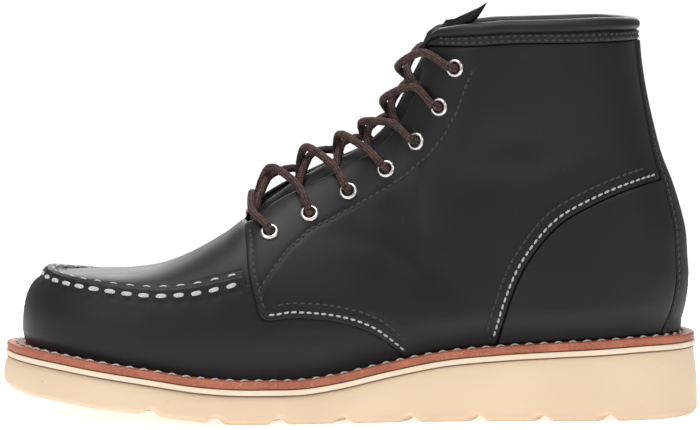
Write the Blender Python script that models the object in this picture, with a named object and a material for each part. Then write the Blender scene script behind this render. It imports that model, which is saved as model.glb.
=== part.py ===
"""Wedge sole work boot, left foot: a moc toe lace-up boot on a foamed rubber wedge.

Metres, +Z up. The toe points along -X, the outer (lateral) side faces -Y, the floor is z = 0.
The sole layers are lofts of one plan outline. The upper is one hollow solid, a loft of sections
worked out from the length, the ball width, the instep and the heel height, and everything that
lies on it (quarters, counters, backstay, collar, tongue, eyelets, laces) reads the same form.
"""
import math

import bmesh
import bpy
import numpy as np
from mathutils import Vector

# Driving sizes of the sole
SOLE_LENGTH = 0.285
BALL_WIDTH = 0.101
HEEL_STACK = 0.0335
TOE_SPRING = 0.0115
WELT_THICKNESS = 0.003
MIDSOLE_THICKNESS = 0.0024
INSOLE_STEP = 0.0012
INSOLE_MARGIN = 0.0014
SOLE_WALL_BULGE = 0.0022
BOTTOM_EDGE = 0.0035
GROOVE_WIDTH = 0.008
GROOVE_DEPTH = 0.0023
GROOVE_PITCH = 0.026
GROOVE_COUNT = 8
GROOVE_WAVE = 0.003
GROOVE_WAVE_LENGTH = 0.034
FIRST_GROOVE = 0.0645

# Driving sizes of the upper
FEATHER_INSET = 0.009
TOE_HEIGHT = 0.0575
INSTEP_HEIGHT = 0.078
SHAFT_HEIGHT = 0.1622
HEEL_INSET = 0.0095
HEEL_ROUND = 0.036
ANKLE_HALF_WIDTH = 0.0285
COLLAR_HALF_WIDTH = 0.0315
UPPER_WALL = 0.002
SEAM_RISE = 0.0017
SEAM_HALF_WIDTH = 0.0026
TOE_CREST = 0.8
FACING_LIFT = 0.0048

# Thicknesses of what lies on the upper, and the clearance between neighbours
QUARTER_THICKNESS = 0.0013
COUNTER_THICKNESS = 0.0019
BACKSTAY_THICKNESS = 0.0022
COLLAR_THICKNESS = 0.0018
TONGUE_THICKNESS = 0.0024
TONGUE_HALF_WIDTH = 0.027
TONGUE_CLEARANCE = 0.0020
FIT = 0.0003

# Fastenings
EYELET_RADIUS = 0.00375
EYELET_HOLE = 0.0021
EYELET_RISE = 0.0011
EYELET_SEAT = 0.0008
LACE_RADIUS = 0.00165
LACE_CLEARANCE = 0.0010
LACE_BOW = 0.0045

# Counts of the lofts
OUTLINE_STEPS = 28
FAN_COLUMNS = 5
FOREFOOT_COLUMNS = 6
FACING_COLUMNS = 10
SHAFT_COLUMNS = 10
WALL_ROWS = 6
PLUG_ROWS = 3
SEAM_END = 0.3

# Sole outline in plan: place along the length, half widths as shares of the ball width
OUTLINE = [
    # along, lateral, medial
    (0.012, 0.10, 0.20),
    (0.040, 0.23, 0.32),
    (0.090, 0.355, 0.435),
    (0.156, 0.445, 0.495),
    (0.237, 0.495, 0.505),
    (0.325, 0.500, 0.470),
    (0.430, 0.465, 0.400),
    (0.553, 0.405, 0.340),
    (0.675, 0.370, 0.330),
    (0.800, 0.365, 0.345),
    (0.893, 0.345, 0.330),
    (0.960, 0.260, 0.255),
    (0.991, 0.135, 0.135),
]
TOE_TIP_ACROSS = 0.06

# Top of the welt: place along the length, height as a share of the heel stack
WELT_LINE = [
    # along, height
    (0.000, 0.865),
    (0.093, 0.782),
    (0.142, 0.725),
    (0.219, 0.639),
    (0.286, 0.557),
    (0.330, 0.526),
    (0.381, 0.516),
    (0.437, 0.524),
    (0.482, 0.579),
    (0.560, 0.722),
    (0.630, 0.832),
    (0.711, 0.896),
    (0.851, 0.962),
    (0.921, 0.995),
    (1.000, 1.000),
]

# Underside of the outsole: place along the length, height as a share of the toe spring
TREAD_LINE = [
    # along, height
    (0.000, 1.00),
    (0.020, 0.86),
    (0.093, 0.64),
    (0.142, 0.50),
    (0.219, 0.33),
    (0.286, 0.12),
    (0.335, 0.00),
    (1.000, 0.00),
]

# Heights on the upper are given as a level: -1 heel seat, 0 toe plug, 1 instep, 2 collar
LEVEL_HEIGHTS = [(-1, HEEL_STACK), (0, TOE_HEIGHT), (1, INSTEP_HEIGHT), (2, SHAFT_HEIGHT)]

# The ridge that the vamp follows and the closed shaft would follow, seen from the side
RIDGE = [
    # along, level
    (0.132, 0.000),
    (0.188, 0.030),
    (0.228, 0.130),
    (0.265, 0.330),
    (0.293, 0.537),
    (0.321, 0.776),
    (0.348, 0.980),
    (0.372, 1.066),
    (0.408, 1.151),
    (0.464, 1.259),
    (0.528, 1.386),
    (0.572, 1.554),
    (0.587, 1.663),
    (0.600, 1.801),
    (0.618, 2.120),
    (0.640, 2.458),
    (0.711, 3.482),
    (1.000, 7.650),
]

# Sections across: drop from the ridge to the widest point as a share of the instep height,
# the two powers of the arch, widest half widths and the moc seam's share of them
SECTIONS = [
    # along, drop, up_power, side_power, lateral, medial, seam
    (0.132, 0.310, 2.3, 6.0, 0.372, 0.372, 0.80),
    (0.219, 0.370, 2.3, 4.0, 0.432, 0.420, 0.83),
    (0.293, 0.495, 2.0, 3.0, 0.452, 0.400, 0.84),
    (0.348, 0.630, 2.0, 2.5, 0.446, 0.386, 0.84),
    (0.430, 0.770, 2.0, 2.2, 0.416, 0.340, 0.84),
    (0.500, 0.850, 2.0, 2.2, 0.376, 0.312, 0.84),
    (0.553, 0.960, 2.0, 2.2, 0.352, 0.300, 0.84),
    (0.590, 1.300, 2.0, 2.2, 0.338, 0.296, 0.84),
    (0.620, 1.700, 2.0, 2.2, 0.330, 0.295, 0.84),
    (0.675, 1.800, 2.0, 2.2, 0.320, 0.297, 0.84),
    (0.800, 1.800, 2.0, 2.2, 0.308, 0.300, 0.84),
    (1.000, 1.800, 2.0, 2.2, 0.305, 0.300, 0.84),
]

# The moc seam round the toe: direction in quarter turns from straight ahead, share of the reach
TOE_SEAM = [
    # turn, share
    (0.0, 0.58),
    (0.5, 0.70),
    (1.0, 0.80),
]

# Where the ridge runs in plan, as a share of the ball width, plus on the medial side
RIDGE_ACROSS = [
    # along, across
    (0.000, 0.035),
    (0.132, 0.030),
    (0.237, 0.022),
    (0.348, 0.020),
    (0.553, 0.010),
    (0.700, 0.000),
    (1.000, 0.000),
]

# Top line of each side, from the throat up the facing and round the collar to the back
TOP_LINE = [
    # along, level
    (0.348, 0.980),
    (0.357, 1.005),
    (0.373, 1.050),
    (0.408, 1.125),
    (0.464, 1.218),
    (0.528, 1.333),
    (0.571, 1.474),
    (0.586, 1.562),
    (0.599, 1.662),
    (0.610, 1.800),
    (0.620, 1.920),
    (0.629, 1.945),
    (0.657, 1.962),
    (0.710, 1.980),
    (0.796, 1.987),
    (0.860, 1.995),
    (0.906, 1.990),
]
COLLAR_CORNER_ROW = 10

# Back seam of the upper
BACK_LINE = [
    # share of the way from the toe tip to the heel feather, level
    (0.9985, -1.200),
    (1.0000, -0.896),
    (1.0070, -0.562),
    (1.0120, -0.083),
    (1.0100, 0.341),
    (1.0070, 0.854),
    (0.9980, 1.084),
    (0.9860, 1.205),
    (0.9740, 1.301),
    (0.9590, 1.476),
    (0.9480, 1.639),
    (0.9400, 1.807),
    (0.9370, 1.940),
    (0.9370, 2.300),
]

# Edges of the pieces on the upper, seen from the side
QUARTER_EDGE = [
    # along, level
    (0.340, 1.300),
    (0.350, 1.000),
    (0.353, 0.763),
    (0.357, 0.131),
    (0.366, -0.314),
    (0.376, -0.640),
    (0.419, -0.640),
    (0.482, -0.720),
    (0.510, -0.810),
    (0.537, -0.960),
    (0.556, -1.120),
    (0.572, -1.300),
    (0.585, -1.560),
]
COUNTER_EDGE = [
    # along, level
    (0.990, 1.250),
    (0.954, 1.222),
    (0.912, 1.194),
    (0.876, 1.155),
    (0.846, 1.110),
    (0.798, 1.015),
    (0.763, 0.540),
    (0.741, 0.040),
    (0.725, -0.430),
    (0.711, -0.976),
    (0.703, -1.500),
]
BACKSTAY_EDGE = [
    # half width as a share of the ankle's, level
    (0.31, 2.100),
    (0.31, 1.896),
    (0.33, 1.640),
    (0.37, 1.420),
    (0.43, 1.254),
    (0.49, 1.100),
    (0.53, 0.860),
    (0.55, 0.400),
    (0.57, 0.000),
    (0.62, -0.500),
    (0.70, -1.050),
    (0.74, -1.500),
]
COLLAR_EDGE = [
    # along, level
    (0.560, 1.868),
    (0.615, 1.862),
    (0.666, 1.866),
    (0.720, 1.880),
    (0.820, 1.884),
    (0.909, 1.890),
    (1.000, 1.890),
]

# Eyelets of one side, from the throat up
EYELETS = [
    # along, level
    (0.387, 0.840),
    (0.443, 1.048),
    (0.499, 1.154),
    (0.553, 1.264),
    (0.597, 1.402),
    (0.629, 1.572),
    (0.651, 1.760),
]

# Tongue: share of its half width, how far up its top edge reaches as a level of the ridge
TONGUE_TOP = [
    # across, level
    (-1.0, 2.12),
    (-0.75, 2.04),
    (-0.4, 1.93),
    (0.0, 1.90),
    (0.5, 1.92),
    (1.0, 1.95),
]
TONGUE_FOOT = 0.325

COLOURS = {
    "sole": ((0.78, 0.66, 0.42), 0.72, 0.0),
    "midsole": ((0.80, 0.70, 0.48), 0.7, 0.0),
    "welt": ((0.33, 0.10, 0.045), 0.62, 0.0),
    "insole": ((0.42, 0.27, 0.15), 0.75, 0.0),
    "leather": ((0.012, 0.012, 0.013), 0.42, 0.0),
    "backstay": ((0.015, 0.015, 0.016), 0.62, 0.0),
    "tongue": ((0.012, 0.012, 0.013), 0.55, 0.0),
    "nickel": ((0.55, 0.53, 0.50), 0.35, 1.0),
    "lace": ((0.075, 0.035, 0.030), 0.85, 0.0),
}

LATERAL = -1
MEDIAL = 1
SIDES = {"lateral": LATERAL, "medial": MEDIAL}


def smooth_line(rows, places):
    """Cubic through the rows of a two-column table, with the slope at each row from its neighbours."""
    table = np.array(rows, dtype=float)
    at = table[:, 0]
    values = table[:, 1]
    slopes = np.gradient(values, at)
    places = np.clip(np.asarray(places, dtype=float), at[0], at[-1])
    row = np.clip(np.searchsorted(at, places, side="right") - 1, 0, len(at) - 2)
    gap = at[row + 1] - at[row]
    t = (places - at[row]) / gap
    start = values[row] * (1 + 2 * t) * (1 - t) ** 2 + values[row + 1] * t * t * (3 - 2 * t)
    return start + gap * (slopes[row] * t * (1 - t) ** 2 + slopes[row + 1] * t * t * (t - 1))


def ease(share):
    """Smooth step from 0 to 1."""
    share = np.clip(share, 0.0, 1.0)
    return share * share * (3 - 2 * share)


def place(along):
    """World x of a share of the sole's length, counted from the toe."""
    return (np.asarray(along) - 0.5) * SOLE_LENGTH


def along(x):
    return np.asarray(x) / SOLE_LENGTH + 0.5


def height(level):
    """World z of a level on the upper, straight between the named heights and beyond them."""
    levels = np.array([row[0] for row in LEVEL_HEIGHTS], dtype=float)
    heights = np.array([row[1] for row in LEVEL_HEIGHTS])
    level = np.asarray(level, dtype=float)
    inside = np.interp(level, levels, heights)
    above = np.maximum(level - levels[-1], 0) * (heights[-1] - heights[-2])
    below = np.minimum(level - levels[0], 0) * (heights[1] - heights[0])
    return inside + above + below


def welt_top(x):
    return smooth_line(WELT_LINE, along(x)) * HEEL_STACK


def tread_bottom(x):
    return np.maximum(smooth_line(TREAD_LINE, along(x)), 0.0) * TOE_SPRING


def side_column(rows, column):
    return [(row[0], row[column]) for row in rows]


def outline_loop():
    """Closed plan outline of the sole, evenly spaced from the toe tip round the lateral side."""
    lateral = [(place(row[0]), -row[1] * BALL_WIDTH) for row in OUTLINE]
    medial = [(place(row[0]), row[2] * BALL_WIDTH) for row in OUTLINE]
    tip = (place(0.0), TOE_TIP_ACROSS * BALL_WIDTH)
    back = (place(1.0), 0.0)
    points = np.array([tip] + lateral + [back] + medial[::-1] + [tip])
    run = np.concatenate([[0], np.cumsum(np.linalg.norm(np.diff(points, axis=0), axis=1))])
    wrapped = np.concatenate([run[-4:-1] - run[-1], run, run[1:4] + run[-1]])
    ring = np.concatenate([points[-4:-1], points, points[1:4]])
    toe_to_back = run[len(lateral) + 1]
    first = np.linspace(0, toe_to_back, OUTLINE_STEPS + 1)
    second = np.linspace(toe_to_back, run[-1], OUTLINE_STEPS + 1)[1:-1]
    at = np.concatenate([first, second])
    x = smooth_line(np.column_stack([wrapped, ring[:, 0]]), at)
    y = smooth_line(np.column_stack([wrapped, ring[:, 1]]), at)
    return np.column_stack([x, y])


def inset_loop(loop, inset):
    """The loop moved inwards along its own normals."""
    tangent = np.roll(loop, -1, axis=0) - np.roll(loop, 1, axis=0)
    tangent /= np.linalg.norm(tangent, axis=1)[:, None]
    inward = np.column_stack([-tangent[:, 1], tangent[:, 0]])
    return loop + inward * np.asarray(inset).reshape(-1, 1)


def feather_curves():
    """The feather line of the lateral and the medial side, each from the toe tip to the back."""
    loop = inset_loop(outline_loop(), FEATHER_INSET)
    lateral = loop[: OUTLINE_STEPS + 1]
    medial = np.concatenate([loop[:1], loop[OUTLINE_STEPS:][::-1]])
    return {LATERAL: lateral, MEDIAL: medial}


def ridge_across(x):
    return smooth_line(RIDGE_ACROSS, along(x)) * BALL_WIDTH


def ridge_height(x, side):
    """Ridge of the closed form. The medial facing stands a little higher beside the tongue."""
    base = height(smooth_line(RIDGE, along(x)))
    rise = ease((along(x) - 0.318) / 0.05) * (1 - 0.6 * ease((along(x) - 0.45) / 0.15))
    return base + rise * FACING_LIFT * (side == MEDIAL)


def section_value(column, x):
    return smooth_line(side_column(SECTIONS, column), along(x))


def widest(x, z, side):
    """Widest half width at a station, narrowing to the ankle and opening to the collar."""
    low = section_value(4 if side == LATERAL else 5, x) * BALL_WIDTH
    ankle = height(1.2)
    behind_vamp = ease((along(x) - 0.30) / 0.20)
    narrowing = ease((z - height(-0.9)) / (ankle - height(-0.9))) * behind_vamp
    opening = ease((z - ankle) / (height(2.0) - ankle))
    return low + (ANKLE_HALF_WIDTH - low) * narrowing + (COLLAR_HALF_WIDTH - ANKLE_HALF_WIDTH) * opening


def back_seam(z):
    """World x of the back seam at a height."""
    heel_reach = SOLE_LENGTH - HEEL_INSET
    table = [(float(height(level)), reach * heel_reach) for reach, level in BACK_LINE]
    return smooth_line(table, z) - 0.5 * SOLE_LENGTH


def arch_share(drop, up_power, side_power):
    """Share of the widest half width at a drop below the ridge, both as shares."""
    return (1 - (1 - np.clip(drop, 0, 1)) ** up_power) ** (1 / side_power)


def shell_half_width(x, z, side):
    """Half width of the upper from its ridge plane, at a place seen from the side."""
    reach = section_value(1, x) * INSTEP_HEIGHT
    drop = (ridge_height(x, side) - z) / reach
    front = arch_share(drop, section_value(2, x), section_value(3, x))
    back = arch_share((back_seam(z) - x) / HEEL_ROUND, 2.0, 2.1)
    return widest(x, z, side) * front * back


def resample(points, shares):
    """Points at the given shares of a polyline's length."""
    run = np.concatenate([[0], np.cumsum(np.linalg.norm(np.diff(points, axis=0), axis=1))])
    return np.column_stack([np.interp(shares * run[-1], run, points[:, i]) for i in range(points.shape[1])])


def forefoot_section(base, centre, seam_share, side):
    """Dense section from a feather point up the wall and over to the ridge, and its seam's place.

    In the toe the section is a radius of the fan. Behind it the section lies across the boot.
    """
    reach = centre - base
    half = np.hypot(reach[0], reach[1])
    station = max(base[0], centre[0])
    widest_half = half + 0.0012
    if station > place(RIDGE[0][0]) + 1e-6:
        blend = float(ease((station - place(RIDGE[0][0])) / 0.02))
        measured = float(section_value(4 if side == LATERAL else 5, station)) * BALL_WIDTH
        widest_half += (measured - widest_half) * blend
    top = float(ridge_height(station, side))
    drop = float(section_value(1, station)) * INSTEP_HEIGHT
    up_power = float(section_value(2, station))
    side_power = float(section_value(3, station))
    foot = float(welt_top(base[0])) + FIT
    waist = max(top - drop, foot + 0.2 * (top - foot))
    lower_turn = np.linspace(0, 1, 20)
    lower_half = half + (widest_half - half) * np.sin(lower_turn * math.pi / 2)
    lower_z = foot + (waist - foot) * lower_turn
    turn = np.linspace(0, math.pi / 2, 60)[1:]
    upper_half = widest_half * np.cos(turn).clip(0) ** (2 / side_power)
    upper_z = waist + (top - waist) * np.sin(turn) ** (2 / up_power)
    halves = np.concatenate([lower_half, upper_half])
    heights = np.concatenate([lower_z, upper_z])
    shares = halves[:, None] / half
    plan = centre + (base - centre) * shares
    points = np.column_stack([plan, heights])
    run = np.concatenate([[0], np.cumsum(np.linalg.norm(np.diff(points, axis=0), axis=1))])
    seam = float(np.interp(-seam_share * widest_half, -upper_half, run[20:]))
    return points, seam / run[-1], run[-1]


def rear_column(base, top, share, side):
    """Dense column from a feather point to a point of the top line, through the closed form."""
    t = np.linspace(0, 1, 80)
    foot = float(welt_top(base[0])) + FIT
    z = foot + (top[1] - foot) * t
    straight = base[0] + (top[0] - base[0]) * t
    lean = back_seam(foot) + (back_seam(SHAFT_HEIGHT) - back_seam(foot)) * t
    bulge = back_seam(z) - lean
    x = straight + bulge * share ** 3
    x = np.minimum(x, back_seam(z))
    half = shell_half_width(x, z, side)
    y = ridge_across(x) + side * half
    settle = ease((z - foot) / 0.014)
    y = base[1] + (y - base[1]) * settle
    return np.column_stack([x, y, z])


def top_line(side):
    """Top line of one side seen from the side, split at the collar's front corner."""
    x = place([row[0] for row in TOP_LINE])
    z = height([row[1] for row in TOP_LINE])
    if side == MEDIAL:
        z = z + (ridge_height(x, MEDIAL) - ridge_height(x, LATERAL)) * (z < height(1.9))
    x[-1] = back_seam(z[-1])
    return np.column_stack([x, z])


def upper_grid(side):
    """Rows of points from feather to top line for each column of one side, toe tip to back seam."""
    feather = feather_curves()[side]
    pole = np.array([place(RIDGE[0][0]), float(ridge_across(place(RIDGE[0][0])))])
    throat_x = place(TOP_LINE[0][0])
    order = np.arange(OUTLINE_STEPS + 1)
    at_pole = float(np.interp(pole[0], feather[:, 0], order))
    at_throat = float(np.interp(throat_x, feather[:, 0], order))
    at_corner = float(np.interp(place(0.70), feather[:, 0], order))
    toward_back = 1 - (1 - np.linspace(0, 1, SHAFT_COLUMNS + 1)) ** 1.35
    stops = np.concatenate(
        [
            np.linspace(0, at_pole, FAN_COLUMNS + 1),
            np.linspace(at_pole, at_throat, FOREFOOT_COLUMNS)[1:-1],
            [at_throat - SEAM_END, at_throat],
            np.linspace(at_throat, at_corner, FACING_COLUMNS + 1)[1:],
            at_corner + (OUTLINE_STEPS - at_corner) * toward_back[1:],
        ]
    )
    bases = np.column_stack([np.interp(stops, order, feather[:, i]) for i in range(2)])
    line = top_line(side)
    facing = resample(line[: COLLAR_CORNER_ROW + 1], np.linspace(0, 1, FACING_COLUMNS + 1))
    collar = resample(line[COLLAR_CORNER_ROW:], 1 - (1 - toward_back) ** 1.35)
    tops = np.concatenate([facing, collar[1:]])
    back_base = float(back_seam(float(welt_top(bases[-1, 0])) + FIT))
    last_front = FAN_COLUMNS + FOREFOOT_COLUMNS
    even = np.linspace(0, 1, WALL_ROWS + PLUG_ROWS + 4)
    grid = []
    for column, base in enumerate(bases):
        if column <= last_front:
            in_fan = column < FAN_COLUMNS
            centre = pole if in_fan else np.array([base[0], float(ridge_across(base[0]))])
            turn = column / FAN_COLUMNS
            seam_share = float(smooth_line(TOE_SEAM, turn)) if in_fan else float(section_value(6, base[0]))
            points, seam, run = forefoot_section(base, centre, seam_share, side)
            wall = np.linspace(0, seam - SEAM_HALF_WIDTH / run, WALL_ROWS + 1)
            crest = seam + np.array([-0.4, 0.4]) * SEAM_HALF_WIDTH / run
            plug = np.linspace(seam + SEAM_HALF_WIDTH / run, 1, PLUG_ROWS + 1)
            shares = np.concatenate([wall, crest, plug])
            throat_shares = shares
        else:
            index = column - last_front
            share = (base[0] - throat_x) / (bases[-1, 0] - throat_x)
            if column == len(bases) - 1:
                base = np.array([back_base, base[1]])
            points = rear_column(base, tops[index], share, side)
            blend = float(ease(index / FACING_COLUMNS))
            shares = throat_shares + (even - throat_shares) * blend
        grid.append(resample(points, shares))
    return np.array(grid)


def closed_form():
    """Both sides in one ring of columns, lateral toe tip to back seam, then medial back to the toe."""
    lateral = upper_grid(LATERAL)
    medial = upper_grid(MEDIAL)
    lateral[0] = medial[0] = 0.5 * (lateral[0] + medial[0])
    lateral[-1] = medial[-1] = 0.5 * (lateral[-1] + medial[-1])
    front = FAN_COLUMNS + FOREFOOT_COLUMNS
    middle = 0.5 * (lateral[: front + 1, -1] + medial[: front + 1, -1])
    lateral[: front + 1, -1] = medial[: front + 1, -1] = middle
    return np.concatenate([lateral, medial[-2:0:-1]])


def grid_normals(grid):
    """Outward unit normals of the ring of columns."""
    around = np.roll(grid, -1, axis=0) - np.roll(grid, 1, axis=0)
    up = np.gradient(grid, axis=1)
    front = FAN_COLUMNS + FOREFOOT_COLUMNS
    count = len(grid)
    mirror = (count - np.arange(count)) % count
    for column in list(range(front)) + list(range(count - front + 1, count)):
        up[column, -1] = grid[mirror[column], -2] - grid[column, -2]
        if column < FAN_COLUMNS or column > count - FAN_COLUMNS:
            around[column, -1] = around[FAN_COLUMNS, -1]
            up[column, -1] = up[FAN_COLUMNS, -1]
    around[0] = np.roll(grid, -1, axis=0)[0] - np.roll(grid, 1, axis=0)[0]
    normal = np.cross(around, up)
    length = np.linalg.norm(normal, axis=2)[:, :, None]
    normal = normal / np.maximum(length, 1e-12)
    top = normal[: front + 1, -1]
    for column in range(1, front + 1):
        both = normal[column, -1] + normal[mirror[column], -1]
        if column <= FAN_COLUMNS:
            both = np.array([0.0, 0.0, 1.0])
        both = both * (1 if both[2] > 0 else -1)
        normal[column, -1] = normal[mirror[column], -1] = both / np.linalg.norm(both)
    normal[0, -1] = normal[1, -1]
    level = normal[:, 0]
    level[:, 2] = 0.0
    normal[:, 0] = level / np.linalg.norm(level, axis=1)[:, None]
    return normal


def seam_relief(grid):
    """The raised moc seam as a step in the wall, which ends where the quarters begin."""
    front = FAN_COLUMNS + FOREFOOT_COLUMNS
    column = np.arange(len(grid))
    ahead = np.minimum(column, len(grid) - column) < front
    rise = np.zeros(grid.shape[:2])
    rise[ahead, WALL_ROWS + 1 : WALL_ROWS + 3] = SEAM_RISE
    turn = np.minimum(column, len(grid) - column) / FAN_COLUMNS
    rise *= (1 + TOE_CREST * (1 - ease(turn)))[:, None]
    return rise


FORM = closed_form()
FORM_NORMALS = grid_normals(FORM)
COLUMNS, ROWS = FORM.shape[:2]
HALF = COLUMNS // 2
FRONT = FAN_COLUMNS + FOREFOOT_COLUMNS


def surface(offset):
    """The upper's outer form moved out by an offset."""
    return FORM + FORM_NORMALS * offset


def on_surface(row, side, offset):
    """Point and normal on one side at a place seen from the side, moved out by an offset."""
    x = float(place(row[0]))
    z = float(height(row[1]))
    columns = np.arange(FRONT, HALF + 1)
    if side == MEDIAL:
        columns = (COLUMNS - columns) % COLUMNS
        z += float(ridge_height(x, MEDIAL) - ridge_height(x, LATERAL)) * (row[1] < 1.9)
    points = FORM[columns]
    normals = FORM_NORMALS[columns]
    corners = (points[:-1, :-1], points[1:, :-1], points[1:, 1:], points[:-1, 1:])
    leans = (normals[:-1, :-1], normals[1:, :-1], normals[1:, 1:], normals[:-1, 1:])
    best = None
    for picks in ((0, 1, 2), (0, 2, 3)):
        a, b, c = (corners[k].reshape(-1, 3) for k in picks)
        na, nb, nc = (leans[k].reshape(-1, 3) for k in picks)
        area = (b[:, 0] - a[:, 0]) * (c[:, 2] - a[:, 2]) - (b[:, 2] - a[:, 2]) * (c[:, 0] - a[:, 0])
        along_b = ((x - a[:, 0]) * (c[:, 2] - a[:, 2]) - (z - a[:, 2]) * (c[:, 0] - a[:, 0])) / area
        along_c = ((b[:, 0] - a[:, 0]) * (z - a[:, 2]) - (b[:, 2] - a[:, 2]) * (x - a[:, 0])) / area
        outside = np.maximum(0, np.maximum(np.maximum(-along_b, -along_c), along_b + along_c - 1))
        hit = int(np.argmin(outside))
        if best is None or outside[hit] < best[0]:
            u, v = float(along_b[hit]), float(along_c[hit])
            point = a[hit] + (b[hit] - a[hit]) * u + (c[hit] - a[hit]) * v
            normal = na[hit] + (nb[hit] - na[hit]) * u + (nc[hit] - na[hit]) * v
            best = (outside[hit], point, normal / np.linalg.norm(normal))
    return best[1] + best[2] * offset, best[2]


def facing_edge(row, side):
    """The facing's edge beside an eyelet, and the direction out of the leather there."""
    eyelet = on_surface(row, side, 0.0)[0]
    columns = np.arange(FRONT, FRONT + FACING_COLUMNS + 1)
    if side == MEDIAL:
        columns = (COLUMNS - columns) % COLUMNS
    tops = FORM[columns, -1]
    nearest = columns[int(np.argmin(np.linalg.norm(tops - eyelet, axis=1)))]
    return FORM[nearest, -1], FORM_NORMALS[nearest, -2]


def material(name):
    """One Principled BSDF material for each kind of surface."""
    found = bpy.data.materials.get(name)
    if found:
        return found
    colour, roughness, metallic = COLOURS[name]
    made = bpy.data.materials.new(name)
    made.use_nodes = True
    shader = made.node_tree.nodes["Principled BSDF"]
    shader.inputs["Base Color"].default_value = (*colour, 1.0)
    shader.inputs["Roughness"].default_value = roughness
    shader.inputs["Metallic"].default_value = metallic
    made.diffuse_color = (*colour, 1.0)
    return made


def add_mesh(name, points, faces, look, collection):
    """One mesh object with its faces pointing out."""
    mesh = bpy.data.meshes.new(name)
    mesh.from_pydata([tuple(map(float, point)) for point in points], [], faces)
    solid = bmesh.new()
    solid.from_mesh(mesh)
    bmesh.ops.remove_doubles(solid, verts=solid.verts, dist=0.00001)
    bmesh.ops.triangulate(solid, faces=solid.faces)
    bmesh.ops.recalc_face_normals(solid, faces=solid.faces)
    solid.to_mesh(mesh)
    solid.free()
    mesh.shade_smooth()
    mesh.set_sharp_from_angle(angle=math.radians(40))
    made = bpy.data.objects.new(name, mesh)
    made.data.materials.append(material(look))
    collection.objects.link(made)
    return made


def plate(name, top_loop, top_z, bottom_loop, bottom_z, rings, look, collection):
    """A sole layer: a stack of loops between a top and an underside that bend along the boot."""
    loops = [np.column_stack([top_loop, top_z])] + rings + [np.column_stack([bottom_loop, bottom_z])]
    count = len(top_loop)
    points = np.concatenate(loops)
    faces = []
    for level in range(len(loops) - 1):
        for i in range(count):
            j = (i + 1) % count
            upper = level * count
            lower = upper + count
            faces.append((upper + i, upper + j, lower + j, lower + i))
    for start in (0, (len(loops) - 1) * count):
        for i in range(count // 2):
            far = (count - i) % count
            far_next = count - i - 1
            face = [start + i, start + i + 1, start + far_next, start + far]
            faces.append(tuple(dict.fromkeys(face)))
    return add_mesh(name, points, faces, look, collection)


def ring_plate(name, outer, inner, top_offset, thickness, look, collection):
    """A flat ring that follows the welt line, such as the welt itself."""
    count = len(outer)
    layers = []
    for loop in (outer, inner):
        for drop in (top_offset, top_offset + thickness):
            layers.append(np.column_stack([loop, welt_top(loop[:, 0]) - drop]))
    points = np.concatenate(layers)
    outer_top, outer_low, inner_top, inner_low = (k * count for k in range(4))
    faces = []
    for i in range(count):
        j = (i + 1) % count
        faces.append((outer_top + i, outer_top + j, inner_top + j, inner_top + i))
        faces.append((outer_low + i, inner_low + i, inner_low + j, outer_low + j))
        faces.append((outer_top + i, outer_low + i, outer_low + j, outer_top + j))
        faces.append((inner_top + i, inner_top + j, inner_low + j, inner_low + i))
    return add_mesh(name, points, faces, look, collection)


def make_outsole(collection, cutters):
    """Foamed rubber wedge: bulged side wall, rounded bottom edge, wavy grooves across the tread."""
    loop = outline_loop()
    drop = WELT_THICKNESS + MIDSOLE_THICKNESS + 2 * FIT
    top_loop = inset_loop(loop, SOLE_WALL_BULGE * 0.8)
    bottom_loop = inset_loop(loop, BOTTOM_EDGE)
    top_z = welt_top(top_loop[:, 0]) - drop
    rings = []
    for share, inset in ((0.45, 0.15 * SOLE_WALL_BULGE), (0.75, 0.0)):
        ring = inset_loop(loop, inset)
        z = welt_top(ring[:, 0]) - drop
        rings.append(np.column_stack([ring, z + (tread_bottom(ring[:, 0]) - z) * share]))
    low = inset_loop(loop, 0.25 * BOTTOM_EDGE)
    rings.append(np.column_stack([low, tread_bottom(low[:, 0]) + 0.45 * BOTTOM_EDGE]))
    bottom_z = tread_bottom(bottom_loop[:, 0])
    sole = plate("outsole", top_loop, top_z, bottom_loop, bottom_z, rings, "sole", collection)
    radius = (GROOVE_WIDTH ** 2 / 4 + GROOVE_DEPTH ** 2) / (2 * GROOVE_DEPTH)
    for index in range(GROOVE_COUNT):
        centre = -0.5 * SOLE_LENGTH + FIRST_GROOVE + index * GROOVE_PITCH
        cutter = groove_cutter("groove_%d" % (index + 1), centre, radius, cutters)
        cut = sole.modifiers.new(cutter.name, "BOOLEAN")
        cut.operation = "DIFFERENCE"
        cut.solver = "EXACT"
        cut.object = cutter
    return sole


def groove_cutter(name, centre, radius, cutters):
    """A round bar that waves along the tread and runs out past both side walls."""
    steps = 13
    across = np.linspace(-0.62, 0.62, steps) * BALL_WIDTH
    wave = GROOVE_WAVE * np.sin(across * 2 * math.pi / GROOVE_WAVE_LENGTH)
    x = centre + wave
    z = tread_bottom(np.full(steps, centre)) - radius + GROOVE_DEPTH
    tilt = float(tread_bottom(np.array([centre + 0.01]))[0] - tread_bottom(np.array([centre - 0.01]))[0]) / 0.02
    sides = 8
    turn = np.arange(sides) * 2 * math.pi / sides + math.pi / sides
    points = []
    for i in range(steps):
        for angle in turn:
            across_groove = radius * math.cos(angle)
            lift = radius * math.sin(angle) + tilt * (wave[i] + across_groove)
            points.append((x[i] + across_groove, across[i], z[i] + lift))
    faces = []
    for i in range(steps - 1):
        for k in range(sides):
            m = (k + 1) % sides
            faces.append((i * sides + k, i * sides + m, (i + 1) * sides + m, (i + 1) * sides + k))
    faces.append(tuple(range(sides)))
    faces.append(tuple((steps - 1) * sides + k for k in range(sides)))
    return hide(add_mesh(name, points, faces, "sole", cutters))


def hide(cutter):
    cutter.hide_render = True
    cutter.display_type = "WIRE"
    return cutter


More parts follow.
